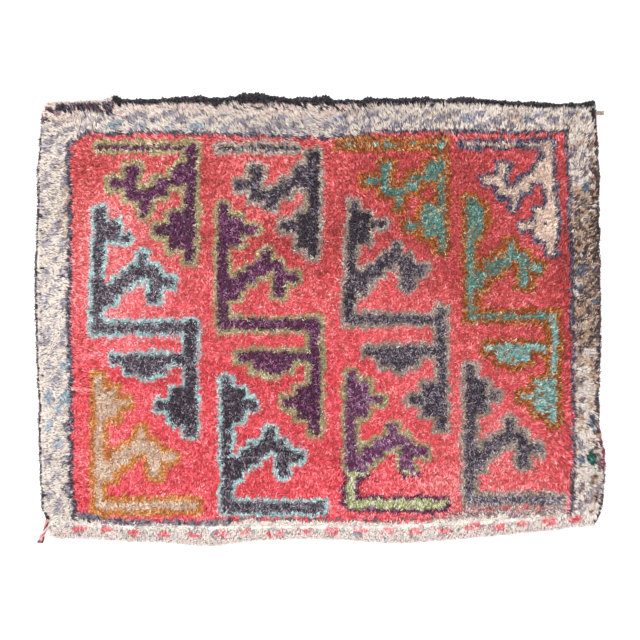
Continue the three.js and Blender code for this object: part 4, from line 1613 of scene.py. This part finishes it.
    def form(self, plan: Plan, locks: Locks, rng: Draws) -> Array:
        """Bends each lock over: the flatter the pile lies, the longer its locks are and the more they lean.

        Args:
            plan: The rug's plan.
            locks: All the locks.
            rng: Draws how each differs from its neighbours.

        Returns:
            Four points a lock.
        """
        count, flat, below = len(locks.u), locks.flat, locks.below
        noise = SmoothNoise(self.seed + 1)
        x, y = locks.place[:, 0], locks.place[:, 1]
        heap = self.heap.read(noise, x, y) + self.tussock.read(noise, x, y)
        length = (self.length[0] + self.length[1] * flat) * locks.long
        length *= 1 + self.heap_gain * heap + rng.normal(0, self.length_spread, count)
        lean = self.lean[0] + self.lean[1] * flat + self.rim_lean * below
        lean = np.radians(lean + np.abs(rng.normal(0, self.lean_spread, count)))
        curl = np.radians(self.curl[0] + self.curl[1] * flat + rng.normal(0, self.curl_spread, count))
        curl = np.maximum(lean + self.least_curl, curl)
        root = np.column_stack([locks.place, plan.height_at(locks.u, locks.v) - self.sunk])
        bend = self.bend_at + self.rim_bend * below
        wave = self.rim_wave.read(noise, locks.u * self.rim_waves, np.zeros(count))
        wave += rng.normal(0, self.rim_rag, count)
        edge = plan.at(plan.bottom, locks.u)[:, 1] - self.overhang * (1 + wave)
        longest = (y - edge) / (bend * np.sin(lean) + (1 - bend) * np.sin(curl))
        length = np.where(below > 0.5, np.minimum(length, longest), length)
        tallest = (self.ceiling - root[:, 2]) / (bend * np.cos(lean) + (1 - bend) * np.cos(curl))
        length = np.minimum(length, tallest)
        turn = rng.uniform(-self.turn, self.turn, count) * (1 - self.rim_turn_loss * below)
        fat = rng.uniform(*self.fat, count) + self.rim_fat * below - self.calm_fat_loss * locks.calm
        return self.lock.points(root, locks.way, length, bend, lean, curl, turn, fat)

    def dye(self, chart: Chart, bath: DyeBath, locks: Locks, rng: Draws) -> Array:
        """Gives each lock the colour of the chart under its tip, between its own place and its knot's middle.

        Args:
            chart: The knots' yarns.
            bath: The yarns' colours.
            locks: All the locks.
            rng: Draws stray yarns and tones.

        Returns:
            One linear colour a lock.
        """
        count, knots, knot = len(locks.u), self.across * self.up, locks.knot
        sums = [np.bincount(knot, locks.place[:, k], knots) for k in (0, 1)]
        middle = np.column_stack([total / np.bincount(knot) for total in sums])
        drift = self.drift + (self.rim_drift - self.drift) * locks.below
        seen = (self.together * middle[knot] + (1 - self.together) * locks.place) / SQUARE
        seen += drift[:, None] * locks.comb
        seen += rng.normal(0, self.strayed, seen.shape)
        yarns, tones = chart.knots(seen[:, 0], seen[:, 1], rng.random(knots)[knot])
        yarns = bath.flecked(yarns, tones, rng.random(count))
        own = self.knot_tone * rng.normal(0, 1, knots)[knot] + self.lock_tone * rng.normal(0, 1, count)
        return bath.colours(yarns, tones + bath.uneven[yarns] * own)

    def strip(self, name: str, points: Array, colours: Array, calm: Array, finish: Material) -> Piece:
        """Makes one piece of many locks, each with its own cell of the map. Calm ones get less painted shade
        and highlight.
        """
        count, each = points.shape[:2]
        form = np.array(self.lock.faces)
        faces = form[None] + each * np.arange(count)[:, None, None]
        piece = new_mesh(name, points.reshape(-1, 3), faces.reshape(-1, 3))
        light = np.sqrt(colours.mean(axis=1))
        # Painted shade at each lock's root and a painted highlight at its tip, softened on calm locks.
        root, tip = (
            1 + (start + gain * light - 1) * (1 - self.calm_painted_light_loss * calm)
            for start, gain in (self.painted_root_shadow, self.painted_tip_highlight)
        )
        shade = np.column_stack([root, np.ones(count), np.ones(count), tip])
        paint(piece, (colours[:, None] * shade[..., None]).reshape(-1, 3))
        grid = math.ceil(math.sqrt(count))
        cell = np.column_stack([np.arange(count) % grid, np.arange(count) // grid])
        corner = np.array(self.lock.places)[form.ravel()] * self.cell[1] + self.cell[0]
        unwrap(piece, "OFBake", ((cell[:, None] + corner[None]) / grid).reshape(-1, 2))
        piece.data.materials.append(finish)
        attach(piece, "root")
        LOG.info("%s: %d locks, %d triangles", name, count, len(faces) * faces.shape[1])
        return piece


@dataclass
class Ground:
    """The woven ground with the dense foot of the pile: a closed sheet whose back shows every knot."""

    across: int = 186
    up: int = 143
    back_tone: float = -0.25
    seed: int = SEED + 14

    def build(self, plan: Plan, chart: Chart, bath: DyeBath, finish: Material) -> Piece:
        """Builds both faces of the sheet on one grid and closes it round its rim."""
        columns, rows = self.across + 1, self.up + 1
        u, v = np.meshgrid(np.arange(columns) / self.across, np.arange(rows) / self.up)
        u, v = u.ravel(), v.ravel()
        place = plan.points(u, v)
        count = len(place)
        under = np.column_stack([place, np.zeros(count)])
        over = np.column_stack([place, plan.height_at(u, v)])
        faces = self.faces(np.arange(count).reshape(rows, columns))
        piece = new_mesh("woven_ground", np.vstack([under, over]), faces, smooth=False)
        chance = np.random.default_rng(self.seed).random(count)
        yarns, tones = chart.knots(place[:, 0] / SQUARE, place[:, 1] / SQUARE, chance)
        paint(piece, np.vstack([bath.colours(yarns, tones + self.back_tone), bath.colours(yarns, tones)]))
        piece.data.materials.append(finish)
        unwrap_points(piece, "weave", np.vstack([place, place]) / MM)
        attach(piece, "root")
        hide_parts("rug")
        LOG.info("woven_ground: %d by %d knots", self.across, self.up)
        return piece

    @staticmethod
    def faces(number: Numbers) -> Numbers:
        """Faces both sides of the sheet and its wall, from the numbers of the lower face's points."""
        count = number.size
        a, b, c, d = (g.ravel() for g in (number[:-1, :-1], number[:-1, 1:], number[1:, 1:], number[1:, :-1]))
        under = np.column_stack([a, d, c, b])
        over = np.column_stack([a, b, c, d]) + count
        ring = np.concatenate([number[0, :-1], number[:-1, -1], number[-1, :0:-1], number[:0:-1, 0]])
        after = np.roll(ring, -1)
        return np.vstack([under, over, np.column_stack([ring, after, after + count, ring + count])])


@dataclass(frozen=True)
class Stretch:
    """A stretch of an overcast edge, up to its end.

    Its yarn is wound with a share of the other. Wide is a share of the cord's own width, way that of its
    loose strands, and outer a thread of another yarn along its outer side, if any.
    """

    end: float
    yarn: Yarn
    other: Yarn
    share: float
    wide: float
    way: float
    outer: Yarn | None = None


@dataclass
class Course:
    """A cord's stations: places along it, middles, half widths, heights, lumps and shares of its length."""

    place: Array
    centre: Array
    wide: Array
    tall: Array
    lump: Array
    share: Array


@dataclass
class OvercastEdge:
    """An overcast edge: a lumpy cord whose yarn is wound round the outer warps, with loose strands on it.

    Rows before and after carry it on past its node, in millimetres: each is a place along the edge and one
    across it, a half width and a height.
    """

    node: str
    piece: str
    slot: str
    axis: int
    sides: int
    pitch: float
    stretches: tuple[Stretch, ...]
    loose: int
    seed: int
    before: tuple[tuple[float, float, float, float], ...] = ()
    after: tuple[tuple[float, float, float, float], ...] = ()
    slice: float = 13 * MM
    stations: int = 4
    slant: float = 0.45
    ridge: float = 0.2
    ridge_power: float = 0.5
    lump: float = 0.3
    lumps: Grain = Grain((0.009, 1))
    small_lumps: Grain = Grain((0.004, 1), (0, 7), 0.5)
    straying: Grain = Grain((0.02, 1), (0, 3), 1.2 * MM)
    nose: float = 6 * MM
    nose_tip: float = 0.02
    shift: float = 0.0
    tone_spread: float = 0.45
    # Painted shade in the grooves between turns: the share of colour kept there, and the share added towards
    # the ridges.
    groove_painted_shade: Pair = (0.55, 0.45)
    # Painted shade on the cord's end caps: the share of colour kept at their middles.
    end_painted_shade: float = 0.6
    outside_from: float = 0.55
    strand: Lock = field(default_factory=lambda: Lock(half_width=0.65 * MM))
    strand_length: float = 5.5 * MM
    strand_lengths: Pair = (0.5, 1.4)
    strand_arc: Pair = (15, 165)
    strand_root: Pair = (0.75, 0.8)
    strand_strays: float = 32
    strand_lean: Pair = (15, 55)
    strand_curl: Pair = (20, 40)
    strand_fat: Pair = (0.7, 1.3)
    strand_tones: float = 0.5
    # Painted light on each loose strand: its root darkened as painted shade, its tip lightened as a painted
    # highlight.
    strand_painted_light: tuple[float, float, float, float] = (0.8, 1.0, 1.0, 1.15)

    def centreline(self, nodes: dict[str, Piece]) -> tuple[Array, Array, Array, Array]:
        """Reads the cord from its node, in slices along it, and adds the rows before and after.

        Args:
            nodes: The frame's nodes.

        Returns:
            The cord's places along its edge, middles, half widths and heights.
        """
        mesh = nodes[self.node].data
        co = np.zeros(len(mesh.vertices) * 3, np.float32)
        mesh.vertices.foreach_get("co", co)
        co = co.reshape(-1, 3).astype(float)
        along, across = co[:, self.axis], co[:, 1 - self.axis]
        slices = max(4, int(np.ptp(along) / self.slice))
        ends = np.linspace(along.min(), along.max(), slices + 1)
        found = []
        for low, high in zip(ends[:-1], ends[1:]):
            own = (along >= low) & (along <= high)
            if own.any():
                side, top = across[own], co[own, 2].max()
                found.append(((low + high) / 2, (side.min() + side.max()) / 2, np.ptp(side) / 2, top))
        found[0] = (along.min() + MM, *found[0][1:])
        found[-1] = (along.max() - MM, *found[-1][1:])
        found = np.array(found)
        first, last = (np.array(rows).reshape(-1, 4) * MM for rows in (self.before, self.after))
        inside = (found[:, 0] > first[:, 0].max(initial=-1)) & (found[:, 0] < last[:, 0].min(initial=1))
        rows = np.vstack([first, found[inside], last])
        return rows[:, 0], rows[:, 1], rows[:, 2], rows[:, 3]

    def stretch_at(self, place: Array) -> Numbers:
        """Gives the number of the stretch in which each place along the edge lies."""
        ends = np.array([stretch.end for stretch in self.stretches]) * MM
        return np.clip(np.searchsorted(ends, place), 0, len(ends) - 1)

    def wound(self, place: Array, rng: Draws) -> Array:
        """Draws a yarn for each place from the two of its stretch."""
        yarns = np.array([(stretch.yarn, stretch.other) for stretch in self.stretches])
        share = np.array([stretch.share for stretch in self.stretches])
        at = self.stretch_at(place)
        return yarns[at, (rng.random(len(place)) < share[at]).astype(int)]

    def course(self, nodes: dict[str, Piece]) -> Course:
        """Lays the cord's stations, a few to each turn of yarn, with its width smoothed between stretches."""
        at, middle, half, top = self.centreline(nodes)
        span = at[-1] - at[0]
        share = np.linspace(0, 1, int(span / self.pitch) * self.stations + 1)
        place = at[0] + span * share
        centre, wide, tall = (np.interp(place, at, value) for value in (middle, half, top))
        widths = np.array([stretch.wide for stretch in self.stretches])[self.stretch_at(place)]
        smear = np.ones(2 * self.stations + 1) / (2 * self.stations + 1)
        wide = wide * np.convolve(np.pad(widths, self.stations, mode="edge"), smear, mode="valid")
        noise, level = SmoothNoise(self.seed + 1), np.zeros(len(place))
        centre = centre + self.shift + self.straying.read(noise, place, level)
        lumps = self.lumps.read(noise, place, level) + self.small_lumps.read(noise, place, level)
        tip = np.clip(np.minimum(share, 1 - share) * span / self.nose, 0, 1)
        lump = (1 + self.lump * lumps) * np.sqrt(np.clip(tip * (2 - tip), self.nose_tip, 1))
        return Course(place, centre, wide, tall, lump, share)

    def build(self, frame: dict, bath: DyeBath, finish: Material) -> Piece:
        """Winds the cord, roots its loose strands and joins them in one piece."""
        rng = np.random.default_rng(self.seed)
        course = self.course(frame["nodes"])
        turns = (len(course.place) - 1) // self.stations
        cord, cord_faces, cord_colours, cord_map = self.cord(course, turns, bath, rng)
        strands, strand_colours = self.strands(course, bath, rng)
        number = np.arange(len(strands))[:, None, None]
        strand_faces = len(cord) + 4 * number + np.array(self.strand.faces)[None]
        strand_map = np.array(self.strand.places)[None] + 2 * number
        points = np.vstack([cord, strands.reshape(-1, 3)])
        piece = new_mesh(self.piece, points, np.vstack([cord_faces, strand_faces.reshape(-1, 3)]))
        paint(piece, np.vstack([cord_colours, strand_colours]))
        unwrap_points(piece, "wool", np.vstack([cord_map, strand_map.reshape(-1, 2)]))
        piece.data.materials.append(finish)
        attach(piece, "root")
        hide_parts(self.node)
        LOG.info("%s: %d turns of yarn, %d loose strands", self.piece, turns, len(strands))
        return piece

    def cord(self, course: Course, turns: int, bath: DyeBath,
             rng: Draws) -> tuple[Array, Numbers, Array, Array]:
        """Winds the cord: its surface rises and falls with each slanting turn, and painted shade darkens the
        grooves between turns.

        Args:
            course: The cord's stations.
            turns: How many turns of yarn it has.
            bath: The yarns' colours.
            rng: Draws each turn's yarn and tone.

        Returns:
            Its points, its faces, one colour a point and one place on the map a point.
        """
        place, share = course.place, course.share
        angle = around(self.sides)
        turn = share[:, None] * turns + self.slant * angle[None] / (2 * math.pi)
        wave = 0.5 + 0.5 * np.cos(2 * math.pi * turn)
        points = self.rings(course, angle, wave)
        yarn_of_turn = self.wound(place[0] + np.arange(turns + 2) * self.pitch, rng)
        which = np.floor(share * turns + 0.5).astype(int)
        colours = bath.colours(yarn_of_turn[which], rng.normal(0, self.tone_spread, turns + 2)[which])
        full = np.repeat(colours[:, None], self.sides, axis=1)
        self.lay_threads(full, place, angle, bath)
        # Painted shade in the grooves between the turns of yarn.
        full *= (self.groove_painted_shade[0] + self.groove_painted_shade[1] * wave)[..., None]
        turned = np.broadcast_arrays(angle[None] / (2 * math.pi), place[:, None] / self.pitch)
        places = np.stack(turned, axis=-1)
        if self.axis == 0:
            points, full, places = points[:, ::-1], full[:, ::-1], places[:, ::-1]
        points, faces = tube(points)
        # The end caps' middles are painted darker, as painted shade.
        ends = (colours[:1] * self.end_painted_shade, colours[-1:] * self.end_painted_shade)
        colours = np.vstack([full.reshape(-1, 3), *ends])
        return points, faces, colours, np.vstack([places.reshape(-1, 2), places[0, :1], places[-1, :1]])

    def rings(self, course: Course, angle: Array, wave: Array) -> Array:
        """Lays a flattened ring at each station, whose radius rises and falls with the turns of yarn."""
        radius = (1 - self.ridge + self.ridge * wave**self.ridge_power) * course.lump[:, None]
        points = np.zeros((len(course.place), self.sides, 3))
        points[..., self.axis] = course.place[:, None]
        aside = course.wide[:, None] * radius * np.cos(angle)[None]
        points[..., 1 - self.axis] = course.centre[:, None] + aside
        points[..., 2] = np.maximum(course.tall[:, None] / 2 * (1 + radius * np.sin(angle)[None]), 0.0)
        return points

    def lay_threads(self, colours: Array, place: Array, angle: Array, bath: DyeBath) -> None:
        """Colours the outer sides of the stretches that have a thread of another yarn along them."""
        at = self.stretch_at(place)
        outside = np.cos(angle) > self.outside_from
        for number, stretch in enumerate(self.stretches):
            if stretch.outer is not None:
                colours[np.ix_(at == number, outside)] = bath.colours(np.array([stretch.outer]), np.zeros(1))

    def strands(self, course: Course, bath: DyeBath, rng: Draws) -> tuple[Array, Array]:
        """Roots loose strands over the cord's upper half and lays each along its stretch's way.

        Args:
            course: The cord's stations.
            bath: The yarns' colours.
            rng: Draws each strand.

        Returns:
            Four points a strand, and one colour a point.
        """
        n = self.loose
        at = rng.integers(0, len(course.place), n)
        arc = np.radians(rng.uniform(*self.strand_arc, n))
        root = np.zeros((n, 3))
        root[:, self.axis] = course.place[at] + rng.uniform(-1, 1, n) * MM
        root[:, 1 - self.axis] = course.centre[at] + self.strand_root[0] * course.wide[at] * np.cos(arc)
        root[:, 2] = course.tall[at] / 2 * (1 + self.strand_root[1] * np.sin(arc))
        ways = np.array([stretch.way for stretch in self.stretches])[self.stretch_at(course.place[at])]
        angle = np.radians(ways + rng.normal(0, self.strand_strays, n))
        way = np.column_stack([np.cos(angle), np.sin(angle)])
        lean = np.radians(rng.uniform(*self.strand_lean, n))
        curl = lean + np.radians(rng.uniform(*self.strand_curl, n))
        length = self.strand_length * rng.uniform(*self.strand_lengths, n)
        turn = rng.uniform(-1, 1, n)
        fat = rng.uniform(*self.strand_fat, n)
        points = self.strand.points(root, way, length, np.full(n, 0.5), lean, curl, turn, fat)
        colours = bath.colours(self.wound(course.place[at], rng), rng.normal(0, self.strand_tones, n))
        # Painted shade at each strand's root and a painted highlight at its tip.
        shade = np.array(self.strand_painted_light)
        return points, (colours[:, None] * shade[None, :, None]).reshape(-1, 3)


@dataclass(frozen=True)
class Ply:
    """One ply of a loose yarn end: its yarn and its tip's, and its tone.

    Spread is its share of the yarn end's spread, radius is in millimetres, and reach a share of the length.
    """

    yarn: Yarn
    tip: Yarn
    tone: float
    spread: float
    radius: float
    reach: float


@dataclass
class LooseYarn:
    """A loose yarn end: plies wound round each other that spread towards their tips.

    Its places and lengths are in millimetres. Parting, spreading, thinning, sinking and tipping are each a
    stretch of its length, in shares of it.
    """

    node: str
    slot: str
    start: Pair
    end: Pair
    plies: tuple[Ply, ...]
    twist: float
    bundle: float
    spread: float
    bend: float
    rise: float = 0.0
    stations: int = 40
    sides: int = 7
    parting: Pair = (0.6, 1.0)
    spreading: Pair = (0.3, 1.0)
    thinning: Pair = (0.9, 1.0)
    sinking: Pair = (0.05, 0.55)
    tipping: Pair = (0.82, 0.94)
    parted: float = 0.5
    lift: float = 0.8
    thinned: float = 0.3
    sunk: float = 0.6
    fibres: int = 3
    fibre_turn: float = 40
    fibre_ridge: float = 0.12
    # Painted shade: the share by which the grooves between fibres are darkened.
    fibre_painted_shade: float = 0.25
    map_length: float = 12

    def build(self, bath: DyeBath, finish: Material) -> Piece:
        """Winds each ply round the middle line, in metres along the floor, and joins them in one piece."""
        points, faces, colours, places = [], [], [], []
        base = 0
        for number, ply in enumerate(self.plies):
            body, triangles, places_of_ply, fibre = self.wind(number, ply)
            points.append(body)
            faces.append(triangles + base)
            places.append(places_of_ply)
            colours.append(self.dye(ply, fibre, bath))
            base += len(body)
        piece = new_mesh(self.node + "_wool", np.vstack(points), np.vstack(faces))
        paint(piece, np.vstack(colours))
        unwrap_points(piece, "wool", np.vstack(places))
        piece.data.materials.append(finish)
        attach(piece, "root")
        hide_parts(self.node)
        LOG.info("%s: %d plies", piece.name, len(self.plies))
        return piece

    def shares(self) -> Array:
        """Gives the stations along a ply, as shares of its length."""
        return np.linspace(0, 1, self.stations)

    def line(self, number: int, ply: Ply) -> tuple[Array, Array]:
        """Works out a ply's middle line and radius: it turns about the bundle's line, then parts from it."""
        t = self.shares()
        start, end = np.array(self.start) * MM, np.array(self.end) * MM
        run = end - start
        way = run / float(np.linalg.norm(run))
        side = np.array([-way[1], way[0]])
        middle = start + t[:, None] * run + (self.bend * MM * np.sin(math.pi * t))[:, None] * side
        phase = 2 * math.pi * (number / len(self.plies) + self.twist * t)
        parting = smooth_step(*self.parting, t)
        bundle = self.bundle * MM * (1 - self.parted * parting)
        off = bundle * np.cos(phase) + ply.spread * self.spread * MM * smooth_step(*self.spreading, t)
        lift = self.bundle * MM * self.lift * np.sin(phase) * (1 - parting)
        thick = ply.radius * MM * (1 - self.thinned * smooth_step(*self.thinning, t))
        line = middle + off[:, None] * side
        line = start + (line - start) * ply.reach
        height = np.maximum(self.bundle * MM + lift, 0) * (1 - self.sunk * parting) + thick
        height = height + self.rise * MM * (1 - smooth_step(*self.sinking, t))
        return np.column_stack([line, height]), thick

    def wind(self, number: int, ply: Ply) -> tuple[Array, Numbers, Array, Array]:
        """Lays rings of fibres along one ply.

        Returns:
            Its points, its faces, one place on the map a point, and how far fibres stand out at its rings.
        """
        t = self.shares()
        centre, thick = self.line(number, ply)
        along = np.gradient(centre, axis=0)
        along /= np.linalg.norm(along, axis=1, keepdims=True)
        first = np.cross(along, np.array([0.0, 0.0, 1.0]))
        first /= np.linalg.norm(first, axis=1, keepdims=True)
        second = np.cross(along, first)
        angle = around(self.sides)
        ring = np.cos(angle)[None, :, None] * first[:, None]
        ring = ring + np.sin(angle)[None, :, None] * second[:, None]
        fibre = np.cos(self.fibres * angle[None] + self.fibre_turn * t[:, None])
        grain = 1 + self.fibre_ridge * fibre
        body, faces = tube(centre[:, None] + ring * (thick[:, None] * grain)[..., None])
        turned = np.broadcast_arrays(angle[None] / (2 * math.pi) + number, t[:, None] * self.map_length)
        places = np.stack(turned, axis=-1)
        return body, faces, np.vstack([places.reshape(-1, 2), places[0, :1], places[-1, :1]]), fibre

    def dye(self, ply: Ply, fibre: Array, bath: DyeBath) -> Array:
        """Colours one ply: its tip's yarn takes over along its end, and painted shade darkens the grooves
        between its fibres.
        """
        body, tip = bath.colours(np.array([ply.yarn, ply.tip]), np.full(2, ply.tone))
        blend = smooth_step(*self.tipping, self.shares())[:, None, None]
        # Painted shade in the grooves between the fibres' ridges.
        streak = 1 - self.fibre_painted_shade + self.fibre_painted_shade * fibre
        own = (body * (1 - blend) + tip * blend) * streak[..., None]
        return np.vstack([own.reshape(-1, 3), body[None], tip[None]])


@dataclass
class Studio:
    """A pale floor, soft light and the camera straight above the rug."""

    camera_height: float = 4.0
    picture_width: float = 1.28
    pile_level: float = 0.012
    middle: Pair = (-0.0005, -0.0004)
    sensor: float = 36
    floor_half: float = 6
    floor_shade: float = 0.93
    floor_roughness: float = 0.9
    sky_strength: float = 1.55
    lamps: tuple[tuple[str, tuple[float, float, float], float, float], ...] = (
        ("key", (-1.6, 1.8, 3.2), 2.6, 122),
        ("fill", (2.0, -1.4, 3.4), 3.0, 45),
    )

    def build(self) -> None:
        """Makes the floor, the lights and the camera."""
        scene = bpy.context.scene
        scene.view_settings.view_transform = "Standard"
        self.floor()
        world = bpy.data.worlds.new("studio")
        world.use_nodes = True
        sky = world.node_tree.nodes["Background"]
        sky.inputs["Color"].default_value = (1, 1, 1, 1)
        sky.inputs["Strength"].default_value = self.sky_strength
        scene.world = world
        for name, place, size, power in self.lamps:
            self.lamp(name, place, size, power)
        camera = bpy.data.cameras.new("camera")
        camera.sensor_width = self.sensor
        camera.lens = self.sensor * (self.camera_height - self.pile_level) / self.picture_width
        camera.clip_end = 100
        eye = bpy.data.objects.new("camera", camera)
        eye.location = (*self.middle, self.camera_height)
        scene.collection.objects.link(eye)
        scene.camera = eye

    def floor(self) -> None:
        half = self.floor_half
        corners = np.array([(-half, -half, 0), (half, -half, 0), (half, half, 0), (-half, half, 0)], float)
        floor = new_mesh("studio_floor", corners, np.array([(0, 1, 2, 3)]))
        material = bpy.data.materials.new("studio_floor")
        material.use_nodes = True
        shader = material.node_tree.nodes["Principled BSDF"]
        shader.inputs["Base Color"].default_value = (self.floor_shade, self.floor_shade, self.floor_shade, 1)
        shader.inputs["Roughness"].default_value = self.floor_roughness
        floor.data.materials.append(material)

    def lamp(self, name: str, place: tuple[float, float, float], size: float, power: float) -> None:
        """Hangs a square lamp that faces the rug's middle."""
        light = bpy.data.lights.new(name, "AREA")
        light.size = size
        light.energy = power
        lamp = bpy.data.objects.new(name, light)
        lamp.location = place
        away = np.array(place)
        flat = math.hypot(away[0], away[1])
        lamp.rotation_euler = (math.atan2(flat, away[2]), 0, math.atan2(away[1], away[0]) + math.pi / 2)
        bpy.context.scene.collection.objects.link(lamp)


LOWER_PLIES = (
    Ply(Yarn.BLUSH, Yarn.BLUSH, 0.3, -1.5, 1.1, 0.78),
    Ply(Yarn.PINK, Yarn.WINE, -0.2, -0.4, 2.1, 1.0),
    Ply(Yarn.WINE, Yarn.PLUM, 0.3, 0.1, 1.8, 0.98),
    Ply(Yarn.BLUSH, Yarn.MAUVE, 0.0, 0.5, 2.0, 0.97),
    Ply(Yarn.PLUM, Yarn.PLUM, 0.2, 1.1, 1.8, 0.96),
)
UPPER_PLIES = (
    Ply(Yarn.TAUPE, Yarn.TAUPE, -0.2, -0.9, 1.9, 1.0),
    Ply(Yarn.MAUVE, Yarn.PLUM, 0.2, -0.1, 1.6, 0.95),
    Ply(Yarn.ASH, Yarn.TAUPE, -0.3, 0.3, 1.6, 0.9),
    Ply(Yarn.TAUPE, Yarn.MAUVE, -0.1, 1.0, 1.9, 1.0),
)
# Places along each edge in millimetres, from the left for the upper one and from below for the others.
TOP_STRETCHES = (
    Stretch(-432, Yarn.BLUSH, Yarn.ASH, 0.4, 0.45, 140),
    Stretch(-416, Yarn.BLUSH, Yarn.ASH, 0.3, 1.3, 130),
    Stretch(-396, Yarn.BLACK, Yarn.PLUM, 0.1, 1.5, 100),
    Stretch(-300, Yarn.BLACK, Yarn.CHARCOAL, 0.2, 1.25, 250),
    Stretch(200, Yarn.BLACK, Yarn.CHARCOAL, 0.2, 1.5, 250),
    Stretch(500, Yarn.BLACK, Yarn.CHARCOAL, 0.25, 1.3, 265),
    Stretch(522, Yarn.BLACK, Yarn.BLACK, 0.0, 1.0, 250),
    Stretch(538, Yarn.BLACK, Yarn.BLACK, 0.0, 0.7, 250),
    Stretch(560, Yarn.BLACK, Yarn.BLACK, 0.0, 1.15, 250),
)
LEFT_STRETCHES = (
    Stretch(-386, Yarn.BLACK, Yarn.CHARCOAL, 0.1, 1.0, 200),
    Stretch(370, Yarn.CHARCOAL, Yarn.ASH, 0.12, 0.9, 190),
    Stretch(420, Yarn.PLUM, Yarn.TAN, 0.3, 0.9, 170),
)
RIGHT_STRETCHES = (
    Stretch(-375, Yarn.BLACK, Yarn.CHARCOAL, 0.2, 1.3, 290),
    Stretch(-305, Yarn.PLUM, Yarn.GUARD, 0.4, 1.25, 320),
    Stretch(-215, Yarn.PLUM, Yarn.WINE, 0.35, 1.75, 315),
    Stretch(-120, Yarn.BARK, Yarn.PLUM, 0.4, 1.8, 330),
    Stretch(0, Yarn.BARK, Yarn.CHARCOAL, 0.4, 1.75, 10),
    Stretch(150, Yarn.BARK, Yarn.CHARCOAL, 0.4, 1.25, 20),
    Stretch(350, Yarn.BARK, Yarn.BLACK, 0.35, 1.6, 60),
    Stretch(430, Yarn.BLACK, Yarn.PLUM, 0.3, 1.35, 60, outer=Yarn.WINE),
)


def overcast_edges() -> list[OvercastEdge]:
    """Gives the three overcast edges: the upper, the left and the right one."""
    top = OvercastEdge(
        "overcast_top", "overcast_cord_top", "dark_cord", 0, 10, 6.4 * MM, TOP_STRETCHES, 4200, SEED + 20,
        after=((542, 432.5, 6, 12), (547, 434.5, 7.4, 12.5), (551, 435, 6.4, 12)),
        ridge=0.4,
        lump=0.42,
        strand_length=8.5 * MM,
    )
    left = OvercastEdge(
        "overcast_left", "overcast_cord_left", "dark_cord", 1, 8, 3.6 * MM, LEFT_STRETCHES, 1100, SEED + 21,
        before=((-406, -544.5, 3.5, 11), (-402, -545, 5.4, 16), (-394, -546.5, 5.4, 16),
                (-386, -550.5, 2.8, 8)),
        shift=-0.5 * MM,
    )
    right = OvercastEdge(
        "overcast_right", "overcast_cord_right", "plum_cord", 1, 8, 3.6 * MM, RIGHT_STRETCHES, 1800,
        SEED + 22,
        before=((-407, 546, 3.2, 6.6), (-401, 549.5, 3.4, 6.6), (-394, 552.5, 3.5, 6.6)),
        lump=0.42,
        shift=1.6 * MM,
    )
    return [top, left, right]


def yarn_ends() -> list[LooseYarn]:
    """Gives the two loose yarn ends: the lower left and the upper right one."""
    return [
        LooseYarn("yarn_end_lower_left", "pink_yarn", (-544.5, -399), (-564, -448), LOWER_PLIES,
                  twist=1.3, bundle=2.3, spread=4.2, bend=1.2, rise=8),
        LooseYarn("yarn_end_upper_right", "beige_yarn", (550.5, 414.5), (569, 416), UPPER_PLIES,
                  twist=0.8, bundle=2.2, spread=3.4, bend=-0.5),
    ]


def main() -> None:
    logging.basicConfig(level=logging.INFO, format="%(message)s")
    for thing in list(bpy.data.objects):
        bpy.data.objects.remove(thing)
    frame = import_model()
    plan, chart, bath = Plan(), Chart(), DyeBath()
    pile_wool = WoolFinish("pile wool", (700.0, 160.0, 1.0), 0.14).build()
    back_wool = WoolFinish("woven back", (0.5, 0.28, 1.0), 0.3, bump=0.5, map_name="weave").build()
    cord_wool = WoolFinish("overcast wool", (4.0, 5.0, 1.0), 0.25, map_name="wool").build()
    ground = Ground().build(plan, chart, bath, back_wool)
    pile = Pile().build(plan, chart, bath, pile_wool)
    cords = [edge.build(frame, bath, cord_wool) for edge in overcast_edges()]
    ends = [end.build(bath, cord_wool) for end in yarn_ends()]
    Studio().build()


if __name__ == "__main__":
    main()
